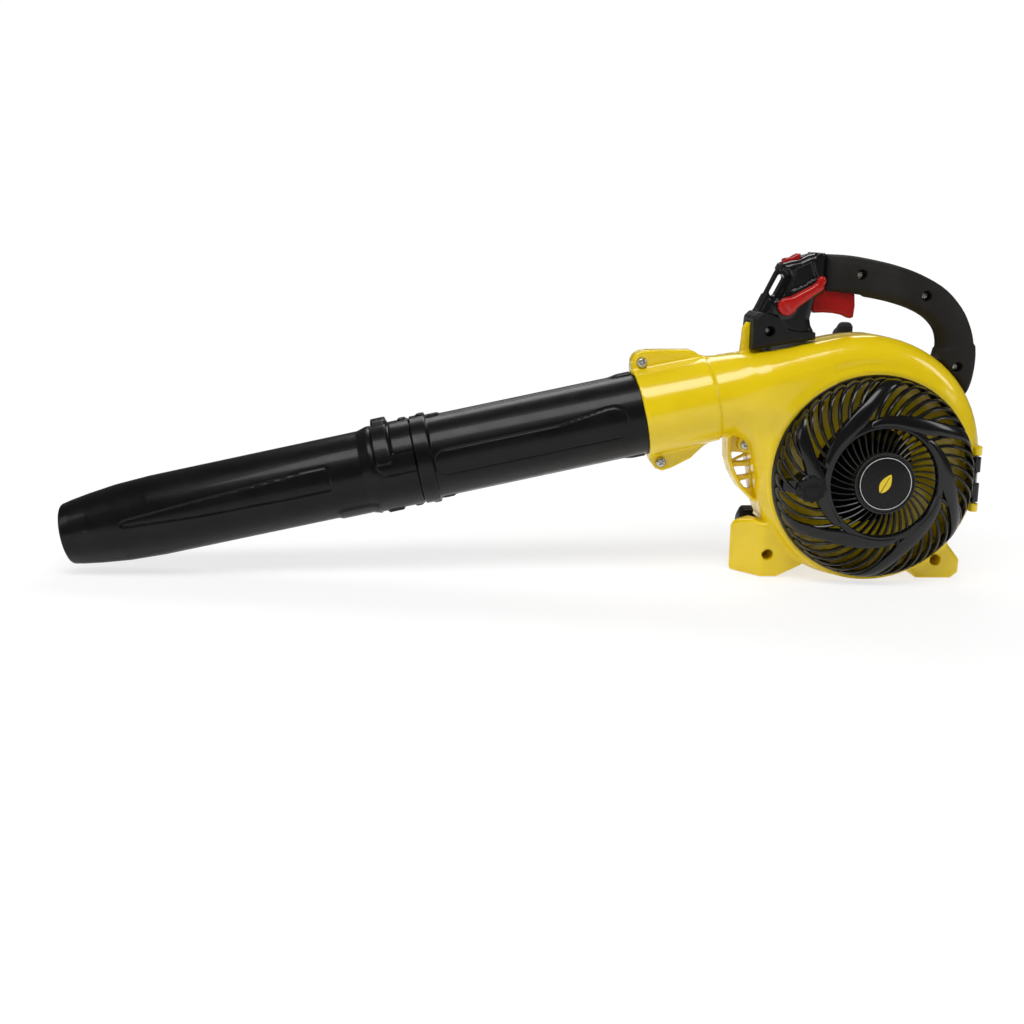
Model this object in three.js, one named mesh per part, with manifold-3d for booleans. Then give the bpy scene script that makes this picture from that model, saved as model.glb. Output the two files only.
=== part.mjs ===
// Handheld petrol leaf blower: scroll casing, intake grille, blow tubes, loop handle and two-stroke engine.
//
// Millimetres, +Z up. The parts are laid out about the fan axis: X runs to the right along the machine,
// with the blow tube towards -X, and Y runs from the intake grille (-Y) back to the recoil starter (+Y).
// Y = 0 is the plane of the intake rim. At the end the group moves so that its origin is the middle of
// the bottom of its own bounding box.

import * as THREE from 'three';
import { mergeVertices } from 'three/addons/utils/BufferGeometryUtils.js';
import { RoundedBoxGeometry } from 'three/addons/geometries/RoundedBoxGeometry.js';
import Module from 'manifold-3d';

const wasm = await Module();
wasm.setup();

// ---------------------------------------------------------------- driving dimensions

const GAP = 0.3;                  // clearance between neighbouring pieces
const WALL = 2.8;                 // moulded wall thickness

const RIM_R = 107.8;              // intake rim radius
const EYE_R = 52;                 // fan eye radius
const SPLIT_Y = 42;               // joint plane of the casing halves and of the handle halves
const CASE_BACK_Y = 84;           // back wall of the scroll casing
const CASE_EDGE = 13;             // rounding of the casing's front and back edges
const SCROLL_MIN_R = 111.5;       // scroll radius at its lowest point
const SCROLL_MAX_R = 147;         // scroll radius at its top
const GROUND_Z = -112.5;          // underside of the feet

const TUBE_TILT = 12.6;           // fall of the blow tube towards its tip, degrees
const TUBE_X = -164;              // a point on the blow tube's axis: the casing's neck
const TUBE_Z = 76.5;
const TUBE_R = 43;                // outside radius of the blow tubes
const TUBE_WALL = 2.4;
const TUBE_SIDES = 20;            // flats round a tube
const NECK_R = 44;                // outside radius of the casing's neck
const CLAMP_R = 46.6;             // outside radius of the tube clamp
const CLAMP_END = 80;             // clamp length along the tube axis from the neck
const TUBE_START = 8;             // upper tube's hidden end, along the axis from the neck
const JOINT_START = 310;          // twist joint between the tubes, along the axis from the neck
const JOINT_END = 372;
const TIP_END = 690;              // nozzle tip, along the axis from the neck

const GRILLE_DEPTH = 39.4;        // height of the grille's badge above the rim plane
const BADGE_R = 28.4;
const HINGE_X = 110.5;            // grille hinge axis, upright
const HINGE_Y = -3;
const LATCH_X = -75;              // grille latch knob
const LATCH_Z = -7;

const HANDLE_HALF = 17;           // half thickness of the handle
const HANDLE_EDGE = 6;            // rounding of its edges
const LUG_HALF = 6;               // half thickness of the casing's handle lugs

const CYLINDER_Y = 114;           // the engine's cylinder stands up on this plane
const STROKE = 28;
const BORE_R = 17;
const TDC_PIN_Z = 66;             // piston pin height at top dead centre
const SHAFT_R = 6;
const STARTER_R = 52;
const ROPE_X = 25.5;              // the starter rope's line of pull, straight up
const ROPE_Y = 169;
const ROPE_R = 1.75;

// ---------------------------------------------------------------- finishes

const YELLOW = { color: 0xe8cf20, roughness: 0.22, metalness: 0 };
const BLACK_GLOSS = { color: 0x121212, roughness: 0.2, metalness: 0 };
const BLACK = { color: 0x1c1c1c, roughness: 0.45, metalness: 0 };
const GRIP = { color: 0x2b2a29, roughness: 0.75, metalness: 0 };
const RED = { color: 0xc01812, roughness: 0.25, metalness: 0 };
const STEEL = { color: 0xb4b4b0, roughness: 0.35, metalness: 1 };
const ALLOY = { color: 0xa9abac, roughness: 0.5, metalness: 0.9 };
const RUBBER = { color: 0x181818, roughness: 0.9, metalness: 0 };
const FOAM = { color: 0x30302e, roughness: 1, metalness: 0 };
const TANK = { color: 0xd9d6c4, roughness: 0.4, metalness: 0 };

// ---------------------------------------------------------------- shape helpers

const UP = new THREE.Vector3(0, 1, 0);
const rad = THREE.MathUtils.degToRad;
const vec = (x, y, z) => new THREE.Vector3(x, y, z);

// A closed mesh as a solid: shared vertices merged, empty triangles dropped, faces turned outwards.
function solid(geometry) {
  const bare = new THREE.BufferGeometry();
  bare.setAttribute('position', geometry.getAttribute('position'));
  if (geometry.index) bare.setIndex(geometry.index);
  const merged = mergeVertices(bare, 1e-3);
  const positions = merged.getAttribute('position').array;
  const corners = merged.index.array;
  const kept = [];
  let volume = 0;
  for (let i = 0; i < corners.length; i += 3) {
    const [a, b, c] = [corners[i], corners[i + 1], corners[i + 2]];
    if (a === b || b === c || c === a) continue;
    kept.push(a, b, c);
    const pa = vec().fromArray(positions, 3 * a);
    const pb = vec().fromArray(positions, 3 * b);
    const pc = vec().fromArray(positions, 3 * c);
    volume += pa.dot(pb.cross(pc));
  }
  if (volume < 0) kept.reverse();
  const mesh = new wasm.Mesh({
    numProp: 3,
    vertProperties: new Float32Array(positions),
    triVerts: new Uint32Array(kept),
  });
  return new wasm.Manifold(mesh);
}

function join(...geometries) {
  return geometries.map(asSolid).reduce((sum, item) => sum.add(item));
}

function cut(base, ...geometries) {
  return geometries.reduce((rest, item) => rest.subtract(asSolid(item)), asSolid(base));
}

function asSolid(item) {
  return item instanceof THREE.BufferGeometry ? solid(item) : item;
}

// A box between two corners.
function block(x0, x1, y0, y1, z0, z1) {
  const box = new THREE.BoxGeometry(x1 - x0, y1 - y0, z1 - z0);
  return box.translate((x0 + x1) / 2, (y0 + y1) / 2, (z0 + z1) / 2);
}

function softBlock(x0, x1, y0, y1, z0, z1, radius) {
  const box = new RoundedBoxGeometry(x1 - x0, y1 - y0, z1 - z0, 1, radius);
  return box.translate((x0 + x1) / 2, (y0 + y1) / 2, (z0 + z1) / 2);
}

// A round bar between two points, tapered if a second radius is given.
function bar(from, to, radius, sides = 16, endRadius = radius) {
  const axis = to.clone().sub(from);
  const geometry = new THREE.CylinderGeometry(endRadius, radius, axis.length(), sides);
  geometry.applyQuaternion(new THREE.Quaternion().setFromUnitVectors(UP, axis.normalize()));
  const middle = from.clone().add(to).multiplyScalar(0.5);
  return geometry.translate(middle.x, middle.y, middle.z);
}

// A bar along Y through (x, z), and one along X through (y, z).
const pinY = (x, z, y0, y1, radius, sides = 16) => bar(vec(x, y0, z), vec(x, y1, z), radius, sides);
const pinX = (y, z, x0, x1, radius, sides = 16) => bar(vec(x0, y, z), vec(x1, y, z), radius, sides);
const pinZ = (x, y, z0, z1, radius, sides = 16) => bar(vec(x, y, z0), vec(x, y, z1), radius, sides);

// An outline in the XZ plane, given as [x, z] points, extruded from y0 to y1.
function plate(points, y0, y1, edge = 0, inset = 0) {
  const shape = new THREE.Shape(points.map(([x, z]) => new THREE.Vector2(x, z)));
  const options = {
    depth: y1 - y0 - 2 * edge,
    bevelEnabled: edge > 0 || inset > 0,
    bevelThickness: edge,
    bevelSize: edge,
    bevelOffset: -edge - inset,
    bevelSegments: edge > 10 ? 2 : Math.sign(edge),
  };
  return new THREE.ExtrudeGeometry(shape, options).rotateX(Math.PI / 2).translate(0, y1 - edge, 0);
}

// A profile of [radius, y] points turned about the fan axis.
function turned(profile, sides = 32) {
  return new THREE.LatheGeometry(profile.map(([r, y]) => new THREE.Vector2(r, y)), sides);
}

// A washer-shaped solid about the fan axis.
function ring(inner, outer, y0, y1, sides = 32) {
  return turned([[inner, y0], [outer, y0], [outer, y1], [inner, y1], [inner, y0]], sides);
}

// A round cord along a smooth curve through points.
function cord(points, radius, steps) {
  const shape = new THREE.Shape().absarc(0, 0, radius, 0, 2 * Math.PI);
  const options = {
    steps,
    curveSegments: 4,
    bevelEnabled: false,
    extrudePath: new THREE.CatmullRomCurve3(points),
  };
  return new THREE.ExtrudeGeometry(shape, options);
}

// A closed skin over rings that hold equal numbers of points, with flat ends.
function loft(rings) {
  const count = rings[0].length;
  const positions = rings.flat().flatMap((p) => [p.x, p.y, p.z]);
  const faces = [];
  for (let r = 0; r + 1 < rings.length; r++) {
    for (let i = 0; i < count; i++) {
      const a = r * count + i;
      const b = r * count + (i + 1) % count;
      faces.push(a, b, b + count, a, b + count, a + count);
    }
  }
  const last = (rings.length - 1) * count;
  for (let i = 1; i + 1 < count; i++) {
    faces.push(0, i + 1, i, last, last + i, last + i + 1);
  }
  const geometry = new THREE.BufferGeometry();
  geometry.setAttribute('position', new THREE.Float32BufferAttribute(positions, 3));
  geometry.setIndex(faces);
  return geometry;
}

// The blow tube's own frame: s along its axis from the neck to the tip, n across it upwards.
const TUBE_S = [-Math.cos(rad(TUBE_TILT)), -Math.sin(rad(TUBE_TILT))];
const TUBE_N = [-Math.sin(rad(TUBE_TILT)), Math.cos(rad(TUBE_TILT))];
const tubeX = (s, n) => TUBE_X + s * TUBE_S[0] + n * TUBE_N[0];
const tubeZ = (s, n) => TUBE_Z + s * TUBE_S[1] + n * TUBE_N[1];
const tubePoint = (s, n, y = SPLIT_Y) => vec(tubeX(s, n), y, tubeZ(s, n));
const tubeBar = (s0, s1, radius) => bar(tubePoint(s0, 0), tubePoint(s1, 0), radius, TUBE_SIDES);

// A profile of [radius, s] points turned about the tube's axis.
function tubeTurned(profile, sides = TUBE_SIDES) {
  const axis = vec(TUBE_S[0], 0, TUBE_S[1]);
  const geometry = turned(profile, sides);
  geometry.applyQuaternion(new THREE.Quaternion().setFromUnitVectors(UP, axis));
  return geometry.translate(TUBE_X, SPLIT_Y, TUBE_Z);
}

// A rounded section of the duct: squareness 2 is an ellipse, more is boxier.
function ductRing(s, n, halfHeight, halfWidth, squareness, count = 20) {
  const points = [];
  for (let i = 0; i < count; i++) {
    const angle = (2 * Math.PI * i) / count;
    const [c, d] = [Math.cos(angle), Math.sin(angle)];
    const y = SPLIT_Y + halfWidth * Math.sign(c) * Math.abs(c) ** (2 / squareness);
    points.push(tubePoint(s, n + halfHeight * Math.sign(d) * Math.abs(d) ** (2 / squareness), y));
  }
  return points;
}

const group = new THREE.Group();

function part(name, shape, finish) {
  const { vertProperties, triVerts } = asSolid(shape).getMesh();
  const geometry = new THREE.BufferGeometry();
  geometry.setAttribute('position', new THREE.BufferAttribute(vertProperties, 3));
  geometry.setIndex(new THREE.BufferAttribute(triVerts, 1));
  const mesh = new THREE.Mesh(geometry, new THREE.MeshStandardMaterial(finish));
  mesh.name = name;
  group.add(mesh);
}

// ---------------------------------------------------------------- scroll casing

// The scroll's radius by angle, in degrees anticlockwise from +X: the tongue is at 180, the top at 450.
function scrollRadius(angle) {
  const low = 275;
  if (angle < low) {
    return SCROLL_MIN_R + 7.5 * Math.sin(Math.min(1, (low - angle) / 50) * Math.PI / 2) ** 2;
  }
  const lean = 6.5 * Math.exp(-(((angle - 368) / 34) ** 2));
  return SCROLL_MIN_R + (SCROLL_MAX_R - SCROLL_MIN_R) * (angle - low) / (450 - low) - lean;
}

const polar = (radius, angle) => [radius * Math.cos(rad(angle)), radius * Math.sin(rad(angle))];

function scrollOutline() {
  const points = [];
  for (let angle = 183; angle <= 458; angle += 15) {
    points.push(polar(scrollRadius(angle), angle));
  }
  points.push([-119, 125]);
  return points;
}

// The duct between the scroll and the neck, skinned over four sections.
function ductBody(inset) {
  return loft([
    ductRing(-112, -7, 47 - inset, SPLIT_Y - inset, 7),
    ductRing(-70, -4, 45 - inset, SPLIT_Y - inset, 5),
    ductRing(-35, -1.5, 43.5 - inset, SPLIT_Y + 1 - inset, 3),
    ductRing(0, 0, NECK_R - inset, NECK_R - inset, 2),
    ductRing(TUBE_START + 2, 0, NECK_R - inset, NECK_R - inset, 2),
  ]);
}

const LEFT_FOOT = [[-92, -58], [-129, -50], [-146, -72], [-149, -86], [-143, -102], [-133, GROUND_Z],
  [-96, GROUND_Z], [-66, -100], [-70, -80]];
const RIGHT_FOOT = [[45, -98], [60, GROUND_Z], [98, GROUND_Z], [106, -106], [106, -92], [90, -72], [70, -80]];
const TOP_EAR = [[81, 38], [80, 53], [76, 62], [68, 65.5], [16, 56], [6, 46], [-2, 38]];
const BOTTOM_EAR = [[80, -38], [79, -52], [75, -61], [68, -65], [58, -64], [36, -58], [17, -46], [4, -38]];
const CLAMP_SCREWS = [tubePoint(69, 53), tubePoint(68, -55)];
const WEB_SCREW = vec(-129, SPLIT_Y, 28);
const FOOT_HOLES = [[-103, -88], [79, -92]];
const EAR_HALF = 9;               // half thickness of the clamp ears
const WEB_HALF = 5;

// The lattice web between the tongue and the duct.
function web() {
  const outline = [[-112, 44], [-148, 38], [-147, 12], [-142, -4], [-133, -19], [-112, -34]];
  const windows = [
    [[-140, 18], [-122, 18], [-122, 8], [-138, 4]],
    [[-137, -1], [-121, 3], [-121, -8], [-132, -10]],
    [[-128, -15], [-120, -13], [-120, -21]],
  ];
  const holes = windows.map((points) => plate(points, SPLIT_Y - 20, SPLIT_Y + 20));
  return cut(plate(outline, SPLIT_Y - WEB_HALF, SPLIT_Y + WEB_HALF), ...holes);
}

// The lugs that the two ends of the handle bolt onto.
const HANDLE_LUGS = [
  { hole: [-112, 149], outline: [[-126, 110], [-121, 156], [-103, 158], [-96, 118]] },
  { hole: [94, 114], outline: [[76, 96], [86, 121], [101, 118], [98, 80]] },
];

function casing() {
  const clamp = tubeBar(4, CLAMP_END, CLAMP_R);
  const ears = [TOP_EAR, BOTTOM_EAR].map((ear) => plate(
    ear.map(([s, n]) => [tubeX(s, n), tubeZ(s, n)]), SPLIT_Y - EAR_HALF, SPLIT_Y + EAR_HALF));
  const lugs = HANDLE_LUGS.map((lug) => plate(lug.outline, SPLIT_Y - LUG_HALF, SPLIT_Y + LUG_HALF));
  const body = join(
    plate(scrollOutline(), 0, CASE_BACK_Y, CASE_EDGE),
    ring(EYE_R, RIM_R + 3, 0.5, 26, 24),
    ductBody(0), clamp, ...ears, ...lugs, web(),
    plate(LEFT_FOOT, 22, 74, 3), plate(RIGHT_FOOT, 12, 74, 3),
  );
  const eye = EYE_R + 0.5;
  const intake = turned([[0, -1], [RIM_R - 1, -1], [RIM_R - 2, 14], [eye, 21], [eye, 32], [0, 32]], 24);
  const cavity = plate(scrollOutline(), 24, CASE_BACK_Y - 3, 8, 3.2);
  const bore = tubeBar(TUBE_START, CLAMP_END + 5, TUBE_R + GAP);
  const screws = [...CLAMP_SCREWS, WEB_SCREW].map((p) => pinY(p.x, p.z, -20, 120, 2.8, 8));
  const bolts = HANDLE_LUGS.map((lug) => pinY(lug.hole[0], lug.hole[1], 20, 70, 2.6, 8));
  const footHoles = FOOT_HOLES.map(([x, z]) => pinY(x, z, 0, 38, 5.2, 12));
  const shaft = pinY(0, 0, 70, 100, 9);
  const duct = cut(ductBody(3), pinY(0, 0, -20, 24, RIM_R + 2.5, 24));
  return cut(body, intake, cavity, duct, bore, shaft, ...screws, ...bolts, ...footHoles);
}

function casingHalves() {
  const whole = casing();
  const reach = 400;
  const front = block(-reach, reach, -60, SPLIT_Y - GAP / 2, -reach, reach);
  const rear = block(-reach, reach, SPLIT_Y + GAP / 2, 200, -reach, reach);
  const knuckles = [[24, 34], [-36, -27]].map(([z0, z1]) => join(
    pinZ(HINGE_X, HINGE_Y, z0, z1, 4.5),
    block(HINGE_X - 3, HINGE_X + 4, HINGE_Y, 9, z0, z1),
  ));
  const relief = pinZ(HINGE_X, HINGE_Y, -26, 23, 6.5);
  const pinHole = pinZ(HINGE_X, HINGE_Y, -40, 40, 2.1, 12);
  const frontHalf = cut(join(cut(whole.intersect(solid(front)), relief), ...knuckles), pinHole);
  part('volute_front', frontHalf, YELLOW);
  part('volute_rear', whole.intersect(solid(rear)), YELLOW);
  part('grille_hinge_pin', pinZ(HINGE_X, HINGE_Y, -36, 34, 1.8, 12), STEEL);
}

// A pan-head screw along Y with its head on the -Y side.
function screw(name, x, z, headY, endY, shankR, headR) {
  const profile = [[0, headY - 3], [headR * 0.7, headY - 3], [headR, headY - 1.2], [headR, headY],
    [shankR, headY], [shankR, endY], [0, endY]];
  part(name, turned(profile, 8).translate(x, 0, z), STEEL);
}

function casingScrews() {
  const [top, bottom] = CLAMP_SCREWS;
  const clampHead = SPLIT_Y - EAR_HALF - GAP;
  screw('clamp_screw_upper', top.x, top.z, clampHead, SPLIT_Y + EAR_HALF, 2.4, 5.3);
  screw('clamp_screw_lower', bottom.x, bottom.z, clampHead, SPLIT_Y + EAR_HALF, 2.4, 5.3);
  screw('web_screw', WEB_SCREW.x, WEB_SCREW.z, SPLIT_Y - WEB_HALF - GAP, SPLIT_Y + WEB_HALF, 2.4, 5.3);
}

// ---------------------------------------------------------------- blow tubes

const PEG_S = 336;                // twist-joint pegs, along the tube axis
const SOCKET_R = TUBE_R + GAP + 2.6;
const SOCKET_BORE_R = (TUBE_R + GAP) / Math.cos(Math.PI / TUBE_SIDES);   // clears the tube's corners
const TIP_TAPER = TIP_END - 90;

function upperTube() {
  const [start, end, inner] = [TUBE_START + GAP, JOINT_END - 8, TUBE_R - TUBE_WALL];
  const body = tubeTurned([[inner, start], [TUBE_R, start], [TUBE_R, end], [inner, end], [inner, start]]);
  const pegs = [1, -1].map((side) => bar(
    tubePoint(PEG_S, 0, SPLIT_Y + side * (TUBE_R - 1.5)),
    tubePoint(PEG_S, 0, SPLIT_Y + side * (TUBE_R + 2.4)), 3.2, 8));
  part('upper_tube', join(body, ...pegs), BLACK);
}

// The nozzle tube twists onto the upper tube: pegs run in L-shaped slots in its socket.
function nozzleTube() {
  const body = tubeTurned([
    [SOCKET_BORE_R, JOINT_START], [SOCKET_R, JOINT_START], [SOCKET_R + 1, JOINT_END],
    [TUBE_R - 0.5, JOINT_END + 5],
    [TUBE_R - 0.5, TIP_TAPER], [TUBE_R - 3.5, TIP_END - 20], [TUBE_R - 7.5, TIP_END],
    [TUBE_R - 9.5, TIP_END - 1], [TUBE_R - 2.9, TIP_TAPER], [TUBE_R - 2.9, JOINT_END - 6],
    [SOCKET_BORE_R, JOINT_END - 7], [SOCKET_BORE_R, JOINT_START],
  ]);
  const slots = [1, -1].flatMap((side) => {
    const [slot, leg] = [[9, 18.2], [-4.6, 18.2]].map(([a, b]) => (side > 0 ? [a, b] : [-b, -a]));
    return [
      slotBox(JOINT_START - 1, PEG_S + 4.6, side, ...slot),
      slotBox(PEG_S - 4.6, PEG_S + 4.6, side, ...leg),
    ];
  });
  part('nozzle_tube', cut(body, ...slots), BLACK);
}

// A straight-sided opening through the socket wall on one side, in the tube's frame.
function slotBox(s0, s1, side, n0, n1) {
  const corners = [[s0, n0], [s1, n0], [s1, n1], [s0, n1]].map(([s, n]) => [tubeX(s, n), tubeZ(s, n)]);
  const y0 = SPLIT_Y + (side > 0 ? 30 : -60);
  return plate(corners, y0, y0 + 30);
}

// ---------------------------------------------------------------- intake grille

const KNOB_SEAT = -32.5;          // the latch knob's seat on the grille
const KNOB_R = 14;

// The dome's height in front of the rim plane at a given radius.
const DOME = new THREE.SplineCurve([[RIM_R, 3], [106.5, 13], [99, 22], [80, 30.5], [55, 36], [BADGE_R, 38.5]]
  .map(([r, h]) => new THREE.Vector2(r, h)));

// A tapered rib that follows the dome and turns about the fan axis as it goes outwards.
function rib(t0, t1, angle0, angle1, width0, width1, depth, steps) {
  const rings = [];
  for (let i = 0; i <= steps; i++) {
    const f = i / steps;
    const on = DOME.getPoint(t0 + (t1 - t0) * f);
    const angle = rad(angle0 + (angle1 - angle0) * f);
    const half = (width0 + (width1 - width0) * f) / 2;
    const [radial, across] = [[Math.cos(angle), Math.sin(angle)], [-Math.sin(angle), Math.cos(angle)]];
    rings.push([[-half, 0], [half, 0], [half, depth], [-half, depth]].map(([w, d]) => vec(
      radial[0] * on.x + across[0] * w, -on.y + d, radial[1] * on.x + across[1] * w)));
  }
  return loft(rings);
}

function grille() {
  const arms = [];
  const slats = [];
  for (let i = 0; i < 6; i++) {
    arms.push(rib(0.78, 0.03, 176 - 60 * i, 90 - 60 * i, 15, 9, 6, 4));
  }
  for (let i = 0; i < 12; i++) {
    slats.push(rib(0.77, 0.03, 30 * i + 4, 30 * i - 10, 3.2, 3.2, 4.4, 2));
    slats.push(rib(0.97, 0.77, 30 * i, 30 * i - 10, 3, 3, 4.4, 1));
  }
  const [hubR, hubFace] = [BADGE_R + 4, 3 - GRILLE_DEPTH];
  const hub = turned([[0, hubFace], [hubR, hubFace], [hubR, -31], [0, -31]], 20);
  const middle = ring(56, 62, -34.6, -28.3, 24);
  const rim = turned([[101, -4], [104, -16], [107.2, -12], [RIM_R, -GAP], [101, -GAP], [101, -4]], 24);
  const latchBoss = pinY(LATCH_X, LATCH_Z, KNOB_SEAT, -9, 13, 12);
  const latchArm = block(LATCH_X - 24, LATCH_X, -20, -9, LATCH_Z - 5, LATCH_Z + 5);
  const hinge = join(pinZ(HINGE_X, HINGE_Y, -25.5, 22.5, 4.3), block(103, HINGE_X, -5, -1, -20, 16));
  const behindRim = block(-120, 120, -GAP, 20, -120, 120);
  const dome = cut(join(hub, middle, rim, ...arms, ...slats, latchBoss, latchArm), behindRim,
    pinY(LATCH_X, LATCH_Z, -50, KNOB_SEAT, KNOB_R + 1, 20), pinY(LATCH_X, LATCH_Z, -50, -5, 4.4, 12));
  part('grille', cut(join(dome, hinge), pinZ(HINGE_X, HINGE_Y, -30, 30, 2.1, 12)), BLACK_GLOSS);
}

function grilleFittings() {
  const face = -GRILLE_DEPTH;
  const badge = [[0, face + 2.7], [BADGE_R, face + 2.7], [BADGE_R, face + 1], [BADGE_R - 1, face], [0, face]];
  part('badge_disc', turned(badge, 32), BLACK_GLOSS);
  const back = KNOB_SEAT - GAP;
  const cap = [[0, back - 6], [KNOB_R - 2, back - 6], [KNOB_R, back - 4], [KNOB_R, back]];
  const stem = [[4, back], [4, -6], [0, -6]];
  const grooves = [];
  for (let i = 0; i < 10; i++) {
    const [x, z] = polar(15, 36 * i);
    grooves.push(pinY(x, z, -45, -20, 2, 6));
  }
  part('grille_latch_knob', cut(turned([...cap, ...stem], 20), ...grooves)
    .translate([LATCH_X, 0, LATCH_Z]), BLACK);
}

// ---------------------------------------------------------------- loop handle

function spline(points, count) {
  const curve = new THREE.SplineCurve(points.map(([x, z]) => new THREE.Vector2(x, z)));
  return curve.getPoints(count).map((p) => [p.x, p.y]);
}

const HANDLE_SEAM_X = -54;        // where the grip meets the front pillar

function gripOutline() {
  const outer = spline([
    [HANDLE_SEAM_X, 229.5], [-25, 228.5], [28, 218], [79, 195], [107.5, 157], [115.5, 120], [112, 97],
  ], 9);
  const foot = [];
  for (let angle = 398; angle <= 419; angle += 7) {
    foot.push(polar(scrollRadius(angle) + 0.8, angle));
  }
  const inner = spline([[76, 128], [75, 146], [57, 167], [22, 180], [-20, 187], [HANDLE_SEAM_X, 189.5]], 6);
  return [...outer, ...foot, ...inner];
}

const PILLAR_END = HANDLE_SEAM_X - GAP;
const PILLAR = [[PILLAR_END, 189.5], [PILLAR_END, 229.5], [-65, 230], [-82, 223.5], [-99, 219], [-106, 205],
  [-122, 171], [-132, 164], [-134.5, 133.5], [-62.5, 148], [-67.5, 161], [-63.5, 184]];
const PILLAR_WINDOW = [[-101, 205], [-97, 203], [-105, 186], [-109, 188]];
const HANDLE_SCREWS = [
  { name: 'handle_screw_bracket', x: -112, z: 149, lug: true },
  { name: 'handle_screw_front', x: -16, z: 209, lug: false },
  { name: 'handle_screw_rear', x: 55, z: 188, lug: false },
  { name: 'handle_screw_end', x: 94, z: 114, lug: true },
];

// One hollow half of a handle piece. side is -1 for the near half and 1 for the far half.
function handleHalf(outline, side, extraCuts) {
  const outside = SPLIT_Y + side * HANDLE_HALF;
  const y = side < 0 ? [outside, SPLIT_Y + 40] : [SPLIT_Y - 40, outside];
  const inside = side < 0 ? [outside + WALL, SPLIT_Y + 50] : [SPLIT_Y - 50, outside - WALL];
  const keep = side < 0 ? [-100, SPLIT_Y - GAP / 2] : [SPLIT_Y + GAP / 2, 200];
  const shell = cut(plate(outline, y[0], y[1], HANDLE_EDGE), plate(outline, inside[0], inside[1], 2, WALL));
  const bosses = HANDLE_SCREWS.map((item) => {
    const near = item.lug ? SPLIT_Y - LUG_HALF - GAP : SPLIT_Y;
    const far = item.lug ? SPLIT_Y + LUG_HALF + GAP : SPLIT_Y;
    const reach = side < 0 ? [outside + 1, near] : [far, outside - 1];
    return pinY(item.x, item.z, reach[0], reach[1], 7, 8);
  });
  const envelope = solid(plate(outline, SPLIT_Y - 16, SPLIT_Y + 16, 0, 1));
  const holes = HANDLE_SCREWS.flatMap((item) => [
    pinY(item.x, item.z, 20, SPLIT_Y + 13, 2.5, 8),
    pinY(item.x, item.z, 10, SPLIT_Y - 8, 5.2, 8),
  ]);
  const lugRoom = HANDLE_LUGS.map((lug) => plate(
    lug.outline.map(([x, z]) => [x + Math.sign(x - lug.hole[0]) * 1.2, z + Math.sign(z - lug.hole[1]) * 1.2]),
    SPLIT_Y - LUG_HALF - GAP, SPLIT_Y + LUG_HALF + GAP));
  const fitted = bosses.map((boss) => solid(boss).intersect(envelope));
  const half = cut(join(shell, ...fitted), ...holes, ...lugRoom, ...extraCuts);
  return half.intersect(solid(block(-300, 300, keep[0], keep[1], -300, 300)));
}

const TRIGGER_PIVOT = [-57, 203];
const CRUISE_PIVOT = [-96, 175];

function handle() {
  const triggerRoom = block(-69, -7, 32.5, 51.5, 150, 215);
  const switchRoom = block(-97, -78, 34, 50, 214, 240);
  const seamRoom = block(-70, -40, 30, 54, 194, 224);
  const window = plate(PILLAR_WINDOW, 0, 100);
  const pivotHole = pinY(TRIGGER_PIVOT[0], TRIGGER_PIVOT[1], 10, 80, 2.3, 12);
  const cruiseHole = pinY(CRUISE_PIVOT[0], CRUISE_PIVOT[1], 0, 36, 3.3, 12);
  const cuts = [triggerRoom, switchRoom, seamRoom, window, pivotHole];
  const upperCuts = [triggerRoom, seamRoom];
  part('pillar_near', handleHalf(PILLAR, -1, [...cuts, cruiseHole]), BLACK_GLOSS);
  part('pillar_far', handleHalf(PILLAR, 1, cuts), BLACK_GLOSS);
  part('grip_near', handleHalf(gripOutline(), -1, upperCuts), GRIP);
  part('grip_far', handleHalf(gripOutline(), 1, upperCuts), GRIP);
  for (const item of HANDLE_SCREWS) {
    screw(item.name, item.x, item.z, SPLIT_Y - 8 - GAP, SPLIT_Y + 12, 2.0, 4.4);
  }
}

function controls() {
  const blade = plate([[-64, 208], [-65, 171], [-60, 168], [-42, 168], [-30, 166], [-21.5, 162.8],
    [-18, 188], [-26, 194], [-44, 196], [-50, 208]], 34, 50, 1.5);
  const [tx, tz] = TRIGGER_PIVOT;
  part('throttle_trigger', join(blade, pinY(tx, tz, SPLIT_Y - 15, SPLIT_Y + 15, 2, 12)), RED);
  const [cx, cz] = CRUISE_PIVOT;
  const lever = plate([[-104, 172], [-99, 167.5], [-91, 168], [-76, 182], [-61, 192.5], [-57.5, 199],
    [-60, 211], [-66, 209], [-67, 201], [-84, 190], [-101, 182]], 14, 24.4, 2);
  part('cruise_lever', join(lever, pinY(cx, cz, 22, 34, 3, 12)), RED);
  const rockerOutline = [[-96, 217], [-79.5, 217], [-79.5, 229.5], [-84, 228], [-92, 223.6], [-96, 223.5]];
  const rocker = plate(rockerOutline, 35, 49, 1);
  part('stop_switch', rocker, RED);
}

// ---------------------------------------------------------------- fan and crankshaft

const BLADES = 8;

function impeller() {
  const blades = [];
  for (let i = 0; i < BLADES; i++) {
    const rings = [];
    for (let k = 0; k <= 2; k++) {
      const f = k / 2;
      const radius = 46 + 52 * f;
      const angle = rad(360 * i / BLADES - 34 * f);
      const [c, s] = [Math.cos(angle), Math.sin(angle)];
      rings.push([[-1.2, 30], [1.2, 30], [1.2, 72], [-1.2, 72]]
        .map(([w, y]) => vec(c * radius - s * w, y, s * radius + c * w)));
    }
    blades.push(loft(rings));
  }
  const bore = SHAFT_R + GAP;
  const hub = [[bore, 30], [14, 30], [20, 50], [48, 70], [98, 71], [98, 74], [bore, 74], [bore, 30]];
  part('impeller', join(turned(hub, 20), ...blades), BLACK);
  part('impeller_nut', cut(pinY(0, 0, 21, 29.6, 9, 6), pinY(0, 0, 10, 40, SHAFT_R + GAP)), STEEL);
}

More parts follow.
